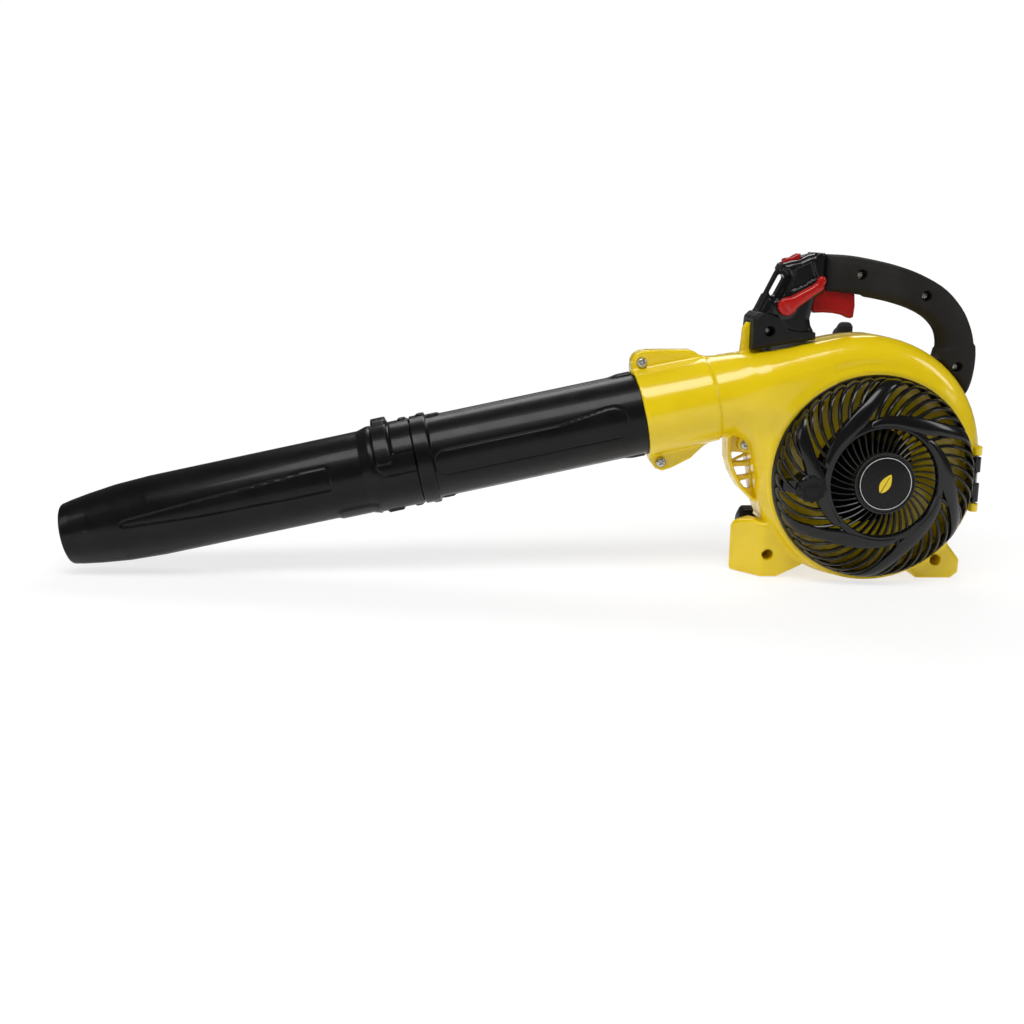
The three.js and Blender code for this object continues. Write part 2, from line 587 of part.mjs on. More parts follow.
const ROD_Y = [CYLINDER_Y - 2, CYLINDER_Y + 2];

// The pressed-up crankshaft: a front half that carries the fan and a rear half that carries the flywheel.
function crankshaft() {
  const throwZ = STROKE / 2;
  const weight = (y0, y1) => cut(pinY(0, 0, y0, y1, 25, 16), block(-30, -9, y0 - 1, y1 + 1, 8, 30),
    block(9, 30, y0 - 1, y1 + 1, 8, 30));
  part('crankshaft_front', join(pinY(0, 0, 18, 104, SHAFT_R), weight(101, 107),
    pinY(0, throwZ, 105, ROD_Y[0] - 0.6, 5.5)), STEEL);
  part('crankshaft_rear', join(pinY(0, 0, 124, 161, SHAFT_R), weight(121, 127),
    pinY(0, throwZ, ROD_Y[1] + 0.6, 123, 5.5)), STEEL);
  part('bearing_front', ring(SHAFT_R + GAP, 13, 88, 96, 16), STEEL);
  part('bearing_rear', ring(SHAFT_R + GAP, 13, 132, 140, 16), STEEL);
}

// ---------------------------------------------------------------- engine

function crankcase() {
  const deck = block(-25, 25, 90, 138, 22, 38);
  const whole = join(pinY(0, 0, CASE_BACK_Y + GAP, 142, 36, 20), deck);
  const hollow = join(pinY(0, 0, 98, 130, 30, 20), pinY(0, 0, 80, 150, SHAFT_R + 1.2, 12),
    pinY(0, 0, 80, 96 + GAP, 13.4, 16), pinY(0, 0, 132 - GAP, 150, 13.4, 16),
    pinZ(0, CYLINDER_Y, 10, 50, BORE_R + 1, 16));
  const body = cut(whole, hollow);
  const split = CYLINDER_Y;
  part('crankcase_front', body.intersect(solid(block(-50, 50, 80, split - GAP / 2, -50, 50))), ALLOY);
  part('crankcase_rear', body.intersect(solid(block(-50, 50, split + GAP / 2, 150, -50, 50))), ALLOY);
}

const FIN_Z = 46;                 // lowest cooling fin
const FIN_STEP = 11;

function cylinder() {
  const fins = [];
  for (let z = FIN_Z; z <= 94; z += FIN_STEP) {
    fins.push(block(-29, 29, 90, 138, z, z + 2.2));
  }
  const barrel = pinZ(0, CYLINDER_Y, 38 + GAP, 98, 21.5, 12);
  const base = block(-25, 25, 90, 138, 38 + GAP, 42);
  const bore = pinZ(0, CYLINDER_Y, 30, 87, BORE_R, 20);
  const plugHole = pinZ(0, CYLINDER_Y, 80, 110, 5.4, 12);
  const ports = [pinX(CYLINDER_Y, 60, -40, -10, 6, 12), pinX(CYLINDER_Y, 62, 10, 40, 6.5, 12)];
  part('cylinder', cut(join(barrel, base, ...fins), bore, plugHole, ...ports), ALLOY);
}

function pistonGroup() {
  const crown = TDC_PIN_Z + 18;
  const skirt = TDC_PIN_Z - 11;
  const shell = pinZ(0, CYLINDER_Y, skirt, crown, BORE_R - 0.6, 20);
  const inside = pinZ(0, CYLINDER_Y, skirt - 1, crown - 4, 13.5, 24);
  const cup = cut(shell, inside, pinY(0, TDC_PIN_Z, 90, 140, 4.3, 12));
  part('piston', cup, ALLOY);
  part('piston_pin', pinY(0, TDC_PIN_Z, CYLINDER_Y - 16, CYLINDER_Y + 16, 4, 12), STEEL);
  const big = STROKE / 2;
  const shank = plate([[-4, big], [4, big], [3, TDC_PIN_Z], [-3, TDC_PIN_Z]], ...ROD_Y);
  const rod = join(shank, pinY(0, big, ...ROD_Y, 9.5, 20), pinY(0, TDC_PIN_Z, ...ROD_Y, 7, 16));
  part('connecting_rod', cut(rod, pinY(0, big, 100, 130, 5.8), pinY(0, TDC_PIN_Z, 100, 130, 4.3, 12)), STEEL);
}

function flywheelAndIgnition() {
  const vanes = [];
  for (let i = 0; i < 8; i++) {
    const vane = block(24, 45, 154, 156.8, -1.2, 1.2);
    vanes.push(vane.rotateY(rad(45 * i)));
  }
  const disc = ring(SHAFT_R + GAP, 46, 146, 154.2, 20);
  part('flywheel', join(disc, ...vanes), ALLOY);
  const coil = join(softBlock(-13, 13, 142.5, 156.8, 56, 80, 3), block(-18, -10, 146, 154, 47.2, 62),
    block(10, 18, 146, 154, 47.2, 62), block(-18, 18, 146, 154, 58, 62));
  part('ignition_coil', coil, BLACK);
  const hex = pinZ(0, CYLINDER_Y, 98 + GAP, 106, 9.5, 6);
  const plug = join(pinZ(0, CYLINDER_Y, 88, 99, 5, 12), hex, pinZ(0, CYLINDER_Y, 105, 134, 4.6, 12));
  part('spark_plug', plug, STEEL);
  const boot = bar(vec(0, CYLINDER_Y, 110), vec(0, CYLINDER_Y, 150), 9.5, 16, 8.5);
  const cap = bar(vec(0, CYLINDER_Y, 149.9), vec(0, CYLINDER_Y, 154), 8.5, 16, 5);
  const neck = bar(vec(0, CYLINDER_Y, 144), vec(0, CYLINDER_Y + 17, 144), 5.5, 12);
  part('spark_plug_boot', cut(join(boot, cap, neck), pinZ(0, CYLINDER_Y, 100, 137, 5.2, 12)), RUBBER);
  const lead = [
    vec(0, CYLINDER_Y + 17.5, 144), vec(0, 141, 143), vec(0, 150.5, 132), vec(0, 152, 108), vec(0, 150, 81),
  ];
  part('ignition_lead', cord(lead, 3.2, 14), RUBBER);
}

// ---------------------------------------------------------------- intake side

function intakeSide() {
  const manifold = join(pinX(CYLINDER_Y, 60, -42, -28, 10), softBlock(-45, -41, 98, 130, 44, 76, 1.5));
  const finRoom = block(-29.3, 0, 80, 140, 40, 100);
  part('intake_manifold', cut(manifold, pinX(CYLINDER_Y, 60, -50, -20, 6, 12), finRoom), BLACK);
  const bulbSeat = pinY(-60, 54, 129, 132.6, 11, 20);
  const body = join(softBlock(-74, -45.3, 98, 130, 44, 76, 3), pinX(CYLINDER_Y, 60, -76.5, -72, 12),
    pinZ(-60, 114, 75, 84, 7, 12), bulbSeat);
  const bulbWell = pinY(-60, 54, 127.5, 140, 9);
  part('carburettor', cut(body, pinX(CYLINDER_Y, 60, -80, -40, 6, 12), bulbWell), ALLOY);
  const dome = new THREE.SphereGeometry(8.5, 16, 8).translate(-60, 134, 54);
  part('primer_bulb', solid(dome).intersect(solid(block(-80, -40, 132.6 + GAP, 150, 40, 70))), RUBBER);
  const chokePin = pinX(140, 68, -76.4, -70, 3, 12);
  const chokeArm = join(block(-76.4, -73.4, 138, 162, 66, 70), block(-76.4, -70, 158, 163, 62, 74));
  part('choke_lever', join(chokePin, chokeArm), RED);
}

const FILTER_HINGE = [-86, 19];   // filter cover hinge, [x, z]

function airFilter() {
  const plateShape = softBlock(-82, -77, 91, 151, 22, 94, 2);
  const throat = pinX(CYLINDER_Y, 60, -90, -70, 6, 12);
  part('air_filter_base', cut(plateShape, throat), BLACK);
  part('air_filter_element', softBlock(-104, -82.4, 95, 147, 28, 88, 4), FOAM);
  const outer = softBlock(-124, -70, 91, 151, 22, 94, 9);
  const inner = softBlock(-121, -66, 94, 148, 25, 91, 7);
  const shell = cut(outer, inner, block(-82.3, -60, 80, 160, 10, 100));
  part('air_filter_cover', shell, BLACK);
}

// ---------------------------------------------------------------- exhaust side and covers

function exhaust() {
  const can = softBlock(38, 86, 93, 137, 36, 88, 5);
  const inlet = pinX(CYLINDER_Y, 62, 29.4, 40, 9);
  const tail = pinX(120, 50, 84, 97, 6);
  const hollow = softBlock(40, 84, 95, 135, 38, 86, 4);
  const passages = [pinX(CYLINDER_Y, 62, 20, 44, 6.5), pinX(120, 50, 80, 110, 4.6)];
  part('muffler', cut(join(can, inlet, tail), hollow, ...passages), STEEL);
}

function engineCover() {
  const outer = join(softBlock(-38, 93, 86, 160, 38, 126, 10), pinY(0, 0, 137, 160, 56, 20));
  const inner = join(softBlock(-35.2, 90.2, 70, 157.2, 20, 123.2, 7), pinY(0, 0, 120, 157.2, 53.2, 20));
  const open = [
    block(-60, 110, 60, 88, 0, 120),
    block(56, 110, 136.9, 170, -20, 20),
    pinY(0, 0, 150, 170, 44, 20),
    pinZ(0, CYLINDER_Y, 115, 135, 15, 12),
    block(-8, 8, 114, 157, 118, 135),
    pinX(CYLINDER_Y, 60, -50, -30, 12),
    block(-50, -30, 98 - GAP, 130 + GAP, 44 - GAP, 76 + GAP),
    pinX(120, 50, 85, 110, 8),
  ];
  const louvres = [];
  for (let z = 76; z <= 108; z += 10) {
    louvres.push(block(85, 110, 98, 136, z, z + 4.5));
  }
  part('engine_cover', cut(outer, inner, ...open, ...louvres), BLACK);
}

// ---------------------------------------------------------------- fuel system

const CAP_Z = -77;                // height of the fuel cap's axis

function fuel() {
  const body = softBlock(-78, 90, 92, 188, -108, -59, 10);
  const neck = pinX(CYLINDER_Y, CAP_Z, -92, -70, 15, 24);
  const hollow = softBlock(-75.5, 87.5, 94.5, 185.5, -105.5, -61.5, 8);
  const filler = pinX(CYLINDER_Y, CAP_Z, -100, -70, 11.5, 20);
  part('fuel_tank', cut(join(body, neck), hollow, filler), TANK);
  const cap = [[0, 0], [20, 0], [20, 14], [15, 19], [0, 20]];
  const grooves = [];
  for (let i = 0; i < 12; i++) {
    const [x, z] = polar(20.8, 30 * i);
    grooves.push(pinY(x, z, -5, 13, 1.8, 5));
  }
  const skirt = cut(turned(cap, 24), pinY(0, 0, -1, 12, 15.6, 20), ...grooves).rotate([0, 0, 90]);
  part('fuel_cap', skirt.translate([-91, CYLINDER_Y, CAP_Z]), BLACK);
  const line = [
    vec(-50, 114, -58.5), vec(-52, 114, -30), vec(-66, 116, 5), vec(-66, 114, 30), vec(-62, 114, 43),
  ];
  part('fuel_line', cord(line, 2.6, 12), RUBBER);
  const mount = softBlock(-24, 24, 100, 126, -58.7, -20, 2);
  part('tank_mount', cut(mount, pinY(0, 0, 80, 150, 36 + GAP, 32)), RUBBER);
  for (const [name, x] of [['rear_foot_left', -52], ['rear_foot_right', 64]]) {
    part(name, pinZ(x, 168, GROUND_Z, -108.3, 12, 20), RUBBER);
  }
}

// ---------------------------------------------------------------- recoil starter

function starter() {
  const face = [[0, 192], [STARTER_R - 8, 192], [STARTER_R, 186], [STARTER_R, 160.4]];
  const inside = [[STARTER_R - 3, 160.4], [STARTER_R - 3, 185], [STARTER_R - 9, 189]];
  const post = [[8, 189], [6, 189], [6, 164], [0, 164]];
  const shell = turned([...face, ...inside, ...post], 20);
  const guide = pinZ(ROPE_X, ROPE_Y, 36, 58, 7);
  const slots = [];
  for (let i = 0; i < 6; i++) {
    slots.push(block(22, 42, 180, 200, -3.5, 3.5).rotateY(rad(60 * i + 30)));
  }
  const roomForPulley = pinY(0, 0, 162, 185, STARTER_R - 10, 36);
  const guideBoss = cut(guide, roomForPulley);
  part('starter_housing', cut(join(shell, guideBoss), pinZ(ROPE_X, ROPE_Y, 20, 70, 3, 12), ...slots), BLACK);
  const front = [[6.4, 174], [26, 174], [26, 171], [23, 170]];
  const back = [[23, 168], [26, 167], [26, 164.5], [6.4, 164.5], [6.4, 174]];
  part('starter_pulley', turned([...front, ...back], 20), BLACK);
  part('recoil_spring', ring(10, 24, 176, 184, 16), STEEL);
  part('starter_rope', pinZ(ROPE_X, ROPE_Y, 0, 59.6, ROPE_R, 8), FOAM);
  const bow = softBlock(ROPE_X - 22, ROPE_X + 22, ROPE_Y - 8, ROPE_Y + 8, 66, 82, 6);
  const grip = join(bow, pinZ(ROPE_X, ROPE_Y, 60, 68, 6));
  part('starter_handle', grip, BLACK);
}

// The throttle cable runs from the front pillar back to the carburettor's lever.
function throttleCable() {
  const route = [
    vec(-104, 60, 176), vec(-104, 76, 174), vec(-100, 92, 150), vec(-80, 104, 118), vec(-64, 113, 98),
    vec(-60, 114, 85.2),
  ];
  part('throttle_cable', cord(route, 2.5, 18), RUBBER);
}

casingHalves();
casingScrews();
upperTube();
nozzleTube();
grille();
grilleFittings();
handle();
controls();
impeller();
crankshaft();
crankcase();
cylinder();
pistonGroup();
flywheelAndIgnition();
intakeSide();
airFilter();
exhaust();
engineCover();
fuel();
starter();
throttleCable();

const bounds = new THREE.Box3().setFromObject(group);
group.position.set(-(bounds.min.x + bounds.max.x) / 2, -(bounds.min.y + bounds.max.y) / 2, -bounds.min.z);
group.updateMatrixWorld(true);

export default group;
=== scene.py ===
"""Handheld petrol leaf blower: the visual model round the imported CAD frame.

Shapes are worked out in millimetres about the fan axis (X right, Y back, Z up, Y = 0 on the intake rim),
as distance fields that are meshed and then moved into the frame in metres.
"""
import math
from functools import reduce

import bmesh
import bpy
import numpy as np
from mathutils import Matrix, Vector


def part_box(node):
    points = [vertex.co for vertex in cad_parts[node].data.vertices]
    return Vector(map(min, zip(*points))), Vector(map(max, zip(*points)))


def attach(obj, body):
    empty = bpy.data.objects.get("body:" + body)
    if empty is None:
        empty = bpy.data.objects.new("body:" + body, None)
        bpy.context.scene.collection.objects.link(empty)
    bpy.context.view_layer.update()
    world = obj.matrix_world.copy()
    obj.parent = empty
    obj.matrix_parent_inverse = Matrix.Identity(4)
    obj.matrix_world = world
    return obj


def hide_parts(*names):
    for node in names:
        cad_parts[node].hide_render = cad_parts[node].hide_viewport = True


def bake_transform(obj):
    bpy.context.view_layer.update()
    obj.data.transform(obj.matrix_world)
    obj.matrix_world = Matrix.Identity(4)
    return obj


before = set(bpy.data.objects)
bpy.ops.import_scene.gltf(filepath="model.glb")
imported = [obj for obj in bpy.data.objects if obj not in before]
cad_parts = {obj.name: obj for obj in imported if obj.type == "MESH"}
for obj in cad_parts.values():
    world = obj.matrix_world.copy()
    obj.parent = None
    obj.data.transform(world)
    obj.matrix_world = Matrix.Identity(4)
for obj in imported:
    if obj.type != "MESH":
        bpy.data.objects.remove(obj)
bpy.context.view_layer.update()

# ---------------------------------------------------------------- dimensions, in millimetres

MM = 0.001
RIM_R = 107.8                     # intake rim radius
EYE_R = 52.0                      # fan eye radius
SPLIT_Y = 42.0                    # joint plane of the casing and handle halves
CASE_BACK_Y = 84.0
SCROLL_MIN_R = 111.5
SCROLL_MAX_R = 147.0
GROUND_Z = -112.5
DEGREE = math.radians(1)
TUBE_TILT = math.radians(12.6)
TILT_C, TILT_S = math.cos(TUBE_TILT), math.sin(TUBE_TILT)
TUBE_X, TUBE_Z = -164.0, 76.5     # the casing's neck, on the blow tube's axis
TUBE_R = 43.0
NECK_R = 44.0
CLAMP_END = 80.0                  # this and the next two are along the tube, from the neck
TUBE_START = 8.0
TIP_END = 690.0
CLAMP_SCREWS = ((69, 53), (68, -55))    # along the tube, and up from its axis
WEB_SCREW = (-129, 28)
GRILLE_DEPTH = 39.4
BADGE_R = 28.4
HINGE_X, HINGE_Y = 110.5, -3.0
LATCH_X, LATCH_Z = -75.0, -7.0
CAP_Z = -77.0                     # fuel cap's axis
CYLINDER_Y = 114                  # plane of the cylinder's, muffler port's and fuel cap's axes
ROPE_X, ROPE_Y = 25.5, 169        # the starter rope's line
SEAM = 0.15                       # half the gap between two moulded halves
LAP = 1                           # how far the box that a half is meshed in reaches past the joint plane

COARSE = 1.0


def fan_axis_origin():
    """The design origin in the frame, in metres: the fan axis at the plane of the intake rim."""
    shaft_low, shaft_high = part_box("bearing_front")
    badge_low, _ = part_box("badge_disc")
    middle = (shaft_low + shaft_high) / 2
    return Vector((middle.x, badge_low.y + GRILLE_DEPTH * MM, middle.z))


ORIGIN = fan_axis_origin()

# ---------------------------------------------------------------- distance fields


def smooth_min(a, b, k):
    h = np.clip(0.5 + 0.5 * (b - a) / k, 0, 1)
    return b + (a - b) * h - k * h * (1 - h)


def smooth_max(a, b, k):
    return -smooth_min(-a, -b, k)


def folded(blend, k, fields):
    return lambda x, y, z: reduce(lambda a, b: blend(a, b, k), (field(x, y, z) for field in fields))


def join(k, *fields):
    return folded(smooth_min, k, fields)


def meet(k, *fields):
    return folded(smooth_max, k, fields)


def inverse(field):
    return lambda x, y, z: -field(x, y, z)


def cut(k, base, *tools):
    return meet(k, base, *[inverse(tool) for tool in tools])


def grown(field, amount):
    return lambda x, y, z: field(x, y, z) - amount


def rounded(a, b, r):
    """The corner where two distances meet, with radius r."""
    return np.minimum(np.maximum(a + r, b + r), 0) + np.hypot(np.maximum(a + r, 0), np.maximum(b + r, 0)) - r


def polygon(points, u, v):
    """Signed distance from (u, v) to a closed outline."""
    best, inside = None, None
    for (ax, ay), (bx, by) in zip(points, points[1:] + points[:1]):
        ex, ey = bx - ax, by - ay
        wx, wy = u - ax, v - ay
        t = np.clip((wx * ex + wy * ey) / max(ex * ex + ey * ey, 1e-9), 0, 1)
        distance = (wx - ex * t) ** 2 + (wy - ey * t) ** 2
        above, below, side = v >= ay, v < by, ex * wy > ey * wx
        flip = (above & below & side) | (~above & ~below & ~side)
        best = distance if best is None else np.minimum(best, distance)
        inside = flip if inside is None else inside ^ flip
    return np.where(inside, -1.0, 1.0) * np.sqrt(best)


def plate(points, y0, y1, r=1.0):
    """An outline of (x, z) points extruded along Y, with rounded edges."""
    def field(x, y, z):
        return rounded(polygon(points, x, z), np.abs(y - (y0 + y1) / 2) - (y1 - y0) / 2, r)
    return field


def middle_plate(points, reach, r=1.0):
    """A plate that reaches equally far to both sides of the joint plane."""
    return plate(points, SPLIT_Y - reach, SPLIT_Y + reach, r)


def block(x0, x1, y0, y1, z0, z1, r=1.0):
    def field(x, y, z):
        a = np.abs(x - (x0 + x1) / 2) - (x1 - x0) / 2
        b = np.abs(y - (y0 + y1) / 2) - (y1 - y0) / 2
        c = np.abs(z - (z0 + z1) / 2) - (z1 - z0) / 2
        outside = np.sqrt(sum(np.maximum(d + r, 0) ** 2 for d in (a, b, c)))
        return outside + np.minimum(np.maximum(np.maximum(a, b), c) + r, 0) - r
    return field


def bar(start, end, radius, end_radius=None, r=0.5):
    """A round bar between two points, tapered if it has a second radius."""
    start, end = np.array(start, float), np.array(end, float)
    reach = np.linalg.norm(end - start)
    axis = (end - start) / reach
    last = radius if end_radius is None else end_radius

    def field(x, y, z):
        px, py, pz = x - start[0], y - start[1], z - start[2]
        s = px * axis[0] + py * axis[1] + pz * axis[2]
        away = np.sqrt(np.maximum(px * px + py * py + pz * pz - s * s, 0))
        wall = radius + (last - radius) * np.clip(s / reach, 0, 1)
        return rounded(away - wall, np.abs(s - reach / 2) - reach / 2, r)
    return field


def turned(profile):
    """A closed profile of (radius, y) points turned about the fan axis."""
    return lambda x, y, z: polygon(profile, np.hypot(x, z), y)


def half(side):
    """Everything in front of (-1) or behind (1) the joint plane."""
    return lambda x, y, z: side * (SPLIT_Y - y) + SEAM


def pin_x(x0, x1, y, z, radius, r=0.5):
    return bar((x0, y, z), (x1, y, z), radius, r=r)


def pin_y(x, z, y0, y1, radius, r=0.4):
    return bar((x, y0, z), (x, y1, z), radius, r=r)


def pin_z(x, y, z0, z1, radius, end_radius=None, r=0.5):
    return bar((x, y, z0), (x, y, z1), radius, end_radius, r)


def along_tube(x, z):
    """Distance along the blow tube's axis from the neck, and across it upwards."""
    dx, dz = x - TUBE_X, z - TUBE_Z
    return -dx * TILT_C - dz * TILT_S, -dx * TILT_S + dz * TILT_C


def tube_point(s, n):
    """The (x, z) of a place s along the blow tube's axis and n above it."""
    return TUBE_X - s * TILT_C - n * TILT_S, TUBE_Z - s * TILT_S + n * TILT_C


def tube_bar(s0, s1, radius, end_radius=None, r=0.5):
    (x0, z0), (x1, z1) = tube_point(s0, 0), tube_point(s1, 0)
    return bar((x0, SPLIT_Y, z0), (x1, SPLIT_Y, z1), radius, end_radius, r)


def polar(radius, angle):
    return radius * math.cos(math.radians(angle)), radius * math.sin(math.radians(angle))


def curve_points(points, count):
    """A Catmull-Rom curve through points."""
    p = [np.array(q, float) for q in points]
    last = len(p) - 1
    out = []
    for i in range(count):
        t = i * last / (count - 1)
        k = min(int(t), last - 1)
        f = t - k
        a, b, c, d = (p[min(max(k + o, 0), last)] for o in (-1, 0, 1, 2))
        out.append(0.5 * (2 * b + (c - a) * f + (2 * a - 5 * b + 4 * c - d) * f ** 2
                          + (3 * b - a - 3 * c + d) * f ** 3))
    return [tuple(q) for q in out]


# ---------------------------------------------------------------- from fields to meshes


def surface_net(field, low, high, step):
    """The zero surface of a field inside a box, as vertices and quads."""
    axes = [np.arange(a - step, b + 2 * step, step) for a, b in zip(low, high)]
    shape = tuple(len(a) for a in axes)
    x, y, z = (axes[0][:, None, None], axes[1][None, :, None], axes[2][None, None, :])
    value = np.broadcast_to(field(x, y, z), shape).astype(np.float32)
    inside = value < 0
    cells = tuple(n - 1 for n in shape)
    total = np.zeros(cells, np.float32)
    place = np.zeros(cells + (3,), np.float32)
    offsets = [(i, j, k) for i in (0, 1) for j in (0, 1) for k in (0, 1)]

    def corner(grid, o):
        return grid[o[0]:o[0] + cells[0], o[1]:o[1] + cells[1], o[2]:o[2] + cells[2]]

    for a in offsets:
        for axis in range(3):
            if a[axis]:
                continue
            b = tuple(1 if n == axis else a[n] for n in range(3))
            va, vb = corner(value, a), corner(value, b)
            crossing = corner(inside, a) != corner(inside, b)
            t = np.where(crossing, va / np.where(crossing, va - vb, 1), 0)
            total += crossing
            for n in range(3):
                place[..., n] += np.where(crossing, a[n] + (t if n == axis else 0), 0)
    active = total > 0
    index = np.full(cells, -1, np.int64)
    index[active] = np.arange(active.sum())
    spots = np.argwhere(active)
    verts = (spots + place[active] / total[active][:, None]) * step + np.array([a[0] for a in axes])
    faces = []
    for axis in range(3):
        u, v = [n for n in range(3) if n != axis]
        span = [slice(1, n - 1) for n in shape]
        span[axis] = slice(0, shape[axis] - 1)
        nxt = list(span)
        nxt[axis] = slice(1, shape[axis])
        first, second = inside[tuple(span)], inside[tuple(nxt)]
        for hit, flip in ((first & ~second, False), (~first & second, True)):
            base = np.argwhere(hit)
            for n in (u, v):
                base[:, n] += 1

            def at(du, dv):
                where = base.copy()
                where[:, u] -= du
                where[:, v] -= dv
                return index[where[:, 0], where[:, 1], where[:, 2]]

            quad = np.stack([at(1, 1), at(0, 1), at(0, 0), at(1, 0)], 1)
            faces.append(quad[:, ::-1] if flip != (axis == 1) else quad)
    return verts, np.concatenate(faces)


def settle(field, verts, reach):
    """Moves vertices onto the zero surface; any that would go too far stays where it was."""
    e = 0.02
    start = verts.copy()
    for _ in range(4):
        p = [verts[:, n] for n in range(3)]
        value = field(*p)
        ahead, behind = (np.stack([field(*[q + d * (n == k) for k, q in enumerate(p)]) for n in range(3)], 1)
                         for d in (e, -e))
        slope = (ahead - behind) / (2 * e)
        size = np.maximum((slope ** 2).sum(1), 0.05)
        verts = verts - slope * np.clip(value / size, -reach, reach)[:, None]
    moved = verts - start
    far = np.linalg.norm(moved, axis=1) > 1.5 * reach
    verts[far] = start[far]
    return verts


def add_piece(name, field, low, high, step, material, place, auto=45):
    """Meshes a field inside a box and settles it in at place, its (body, slot, CAD node); the slot is not used."""
    step *= COARSE
    verts, faces = surface_net(field, low, high, step)
    settle_in(mesh_piece(name, settle(field, verts, step), faces, material, auto), *place)


def mesh_piece(name, verts, faces, material, auto):
    """An object from vertices in design millimetres, smooth up to an angle in degrees."""
    mesh = bpy.data.meshes.new(name)
    placed = np.asarray(verts, float) * MM + np.array(ORIGIN)
    mesh.from_pydata(placed.tolist(), [], [list(map(int, f)) for f in faces])
    mesh.update()
    mesh.materials.append(material)
    piece = bpy.data.objects.new(name, mesh)
    bpy.context.scene.collection.objects.link(piece)
    smooth(piece, auto)
    return piece


def smooth(piece, angle):
    mesh = piece.data
    mesh.polygons.foreach_set("use_smooth", np.ones(len(mesh.polygons), bool))
    edges = bmesh.new()
    edges.from_mesh(mesh)
    edges.normal_update()
    limit = math.radians(angle)
    for edge in edges.edges:
        edge.smooth = len(edge.link_faces) == 2 and edge.calc_face_angle(0) < limit
    edges.to_mesh(mesh)
    edges.free()


def settle_in(piece, body, slot, *nodes):
    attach(piece, body)
    if nodes:
        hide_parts(*nodes)


# ---------------------------------------------------------------- finishes


def put(node, **constants):
    """Puts constants on a node's sockets, named with _ for a space."""
    for socket, value in constants.items():
        node.inputs[socket.replace("_", " ")].default_value = value
    return node


def finish(name, dark, light, rough, metal=0.0, coat=0.0, spots=30.0, grain=900.0, grain_depth=0.05,
           wear=0.12, speck=None, shine=0.5):
    """A material with mottled colour, uneven roughness, fine grain and light scuffs, all from place."""
    mat = bpy.data.materials.new(name)
    mat.use_nodes = True
    nodes, links = mat.node_tree.nodes, mat.node_tree.links
    shader = put(nodes["Principled BSDF"], Metallic=metal, Coat_Weight=coat, Coat_Roughness=0.06,
                 Specular_IOR_Level=shine)
    place = nodes.new("ShaderNodeTexCoord")

    def noise(scale, detail, stretch=(1, 1, 1), distortion=0.0):
        mapping = put(nodes.new("ShaderNodeMapping"), Scale=stretch)
        links.new(place.outputs["Object"], mapping.inputs["Vector"])
        texture = put(nodes.new("ShaderNodeTexNoise"), Scale=scale, Detail=detail, Distortion=distortion)
        links.new(mapping.outputs["Vector"], texture.inputs["Vector"])
        return texture.outputs["Fac"]

    def ramp(source, stops):
        node = nodes.new("ShaderNodeValToRGB")
        links.new(source, node.inputs["Fac"])
        for i, (at, colour) in enumerate(stops):
            element = node.color_ramp.elements[i] if i < 2 else node.color_ramp.elements.new(at)
            element.position = at
            element.color = (*colour, 1)
        return node.outputs["Color"]

    colour = ramp(noise(spots, 5, distortion=0.4), [(0.3, dark), (0.72, light)])
    scuffs = ramp(noise(120, 8, (1, 0.35, 2.6), 1.2), [(0.62, (0, 0, 0)), (0.74, (1, 1, 1))])
    if speck:
        blend = nodes.new("ShaderNodeMix")
        blend.data_type = "RGBA"
        dust = ramp(noise(420, 3), [(0.66, (0, 0, 0)), (0.8, (0.55, 0.55, 0.55))])
        links.new(dust, blend.inputs["Factor"])
        links.new(colour, blend.inputs[6])
        blend.inputs[7].default_value = (*speck, 1)
        colour = blend.outputs[2]
    links.new(colour, shader.inputs["Base Color"])
    uneven = put(nodes.new("ShaderNodeMapRange"), To_Min=max(rough - wear / 2, 0.03),
                 To_Max=min(rough + wear, 1))
    mixed = nodes.new("ShaderNodeMath")
    mixed.operation = "MULTIPLY_ADD"
    links.new(scuffs, mixed.inputs[0])
    mixed.inputs[1].default_value = 0.35
    links.new(noise(65, 6), mixed.inputs[2])
    links.new(mixed.outputs[0], uneven.inputs["Value"])
    links.new(uneven.outputs["Result"], shader.inputs["Roughness"])
    bump = put(nodes.new("ShaderNodeBump"), Strength=min(1.0, grain_depth * 4), Distance=grain_depth * MM)
    links.new(noise(grain, 3), bump.inputs["Height"])
    links.new(bump.outputs["Normal"], shader.inputs["Normal"])
    return mat


YELLOW = finish("yellow_abs", (0.83, 0.595, 0.004), (0.88, 0.64, 0.006), 0.18, coat=0.35, grain=500,
                grain_depth=0.02, wear=0.1, shine=0.4)
TUBE = finish("tube_black", (0.003, 0.003, 0.0034), (0.006, 0.006, 0.0066), 0.28, coat=0.1, grain=1300,
              grain_depth=0.05, wear=0.14, speck=(0.011, 0.011, 0.012), shine=0.16)
GLOSS = finish("black_gloss", (0.003, 0.003, 0.0033), (0.006, 0.006, 0.0063), 0.18, coat=0.2, grain=700,
               grain_depth=0.02, speck=(0.012, 0.012, 0.012), shine=0.3)
MATTE = finish("black_matte", (0.007, 0.007, 0.007), (0.012, 0.012, 0.012), 0.46, grain=1500,
               grain_depth=0.09, speck=(0.02, 0.02, 0.02), shine=0.2)
GRIP = finish("grip_rubber", (0.010, 0.009, 0.008), (0.018, 0.016, 0.014), 0.62, grain=1700, grain_depth=0.12,
              speck=(0.03, 0.028, 0.025), shine=0.2)
RED = finish("red_gloss", (0.36, 0.006, 0.004), (0.48, 0.01, 0.006), 0.2, coat=0.15, grain=600,
             grain_depth=0.02, shine=0.35)
RED_DARK = finish("red_satin", (0.27, 0.004, 0.003), (0.36, 0.007, 0.005), 0.3, grain=900, grain_depth=0.04,
                  shine=0.2)
BADGE = finish("badge_black", (0.008, 0.008, 0.008), (0.014, 0.014, 0.014), 0.24, coat=0.05, grain=800,
               grain_depth=0.02, shine=0.15)
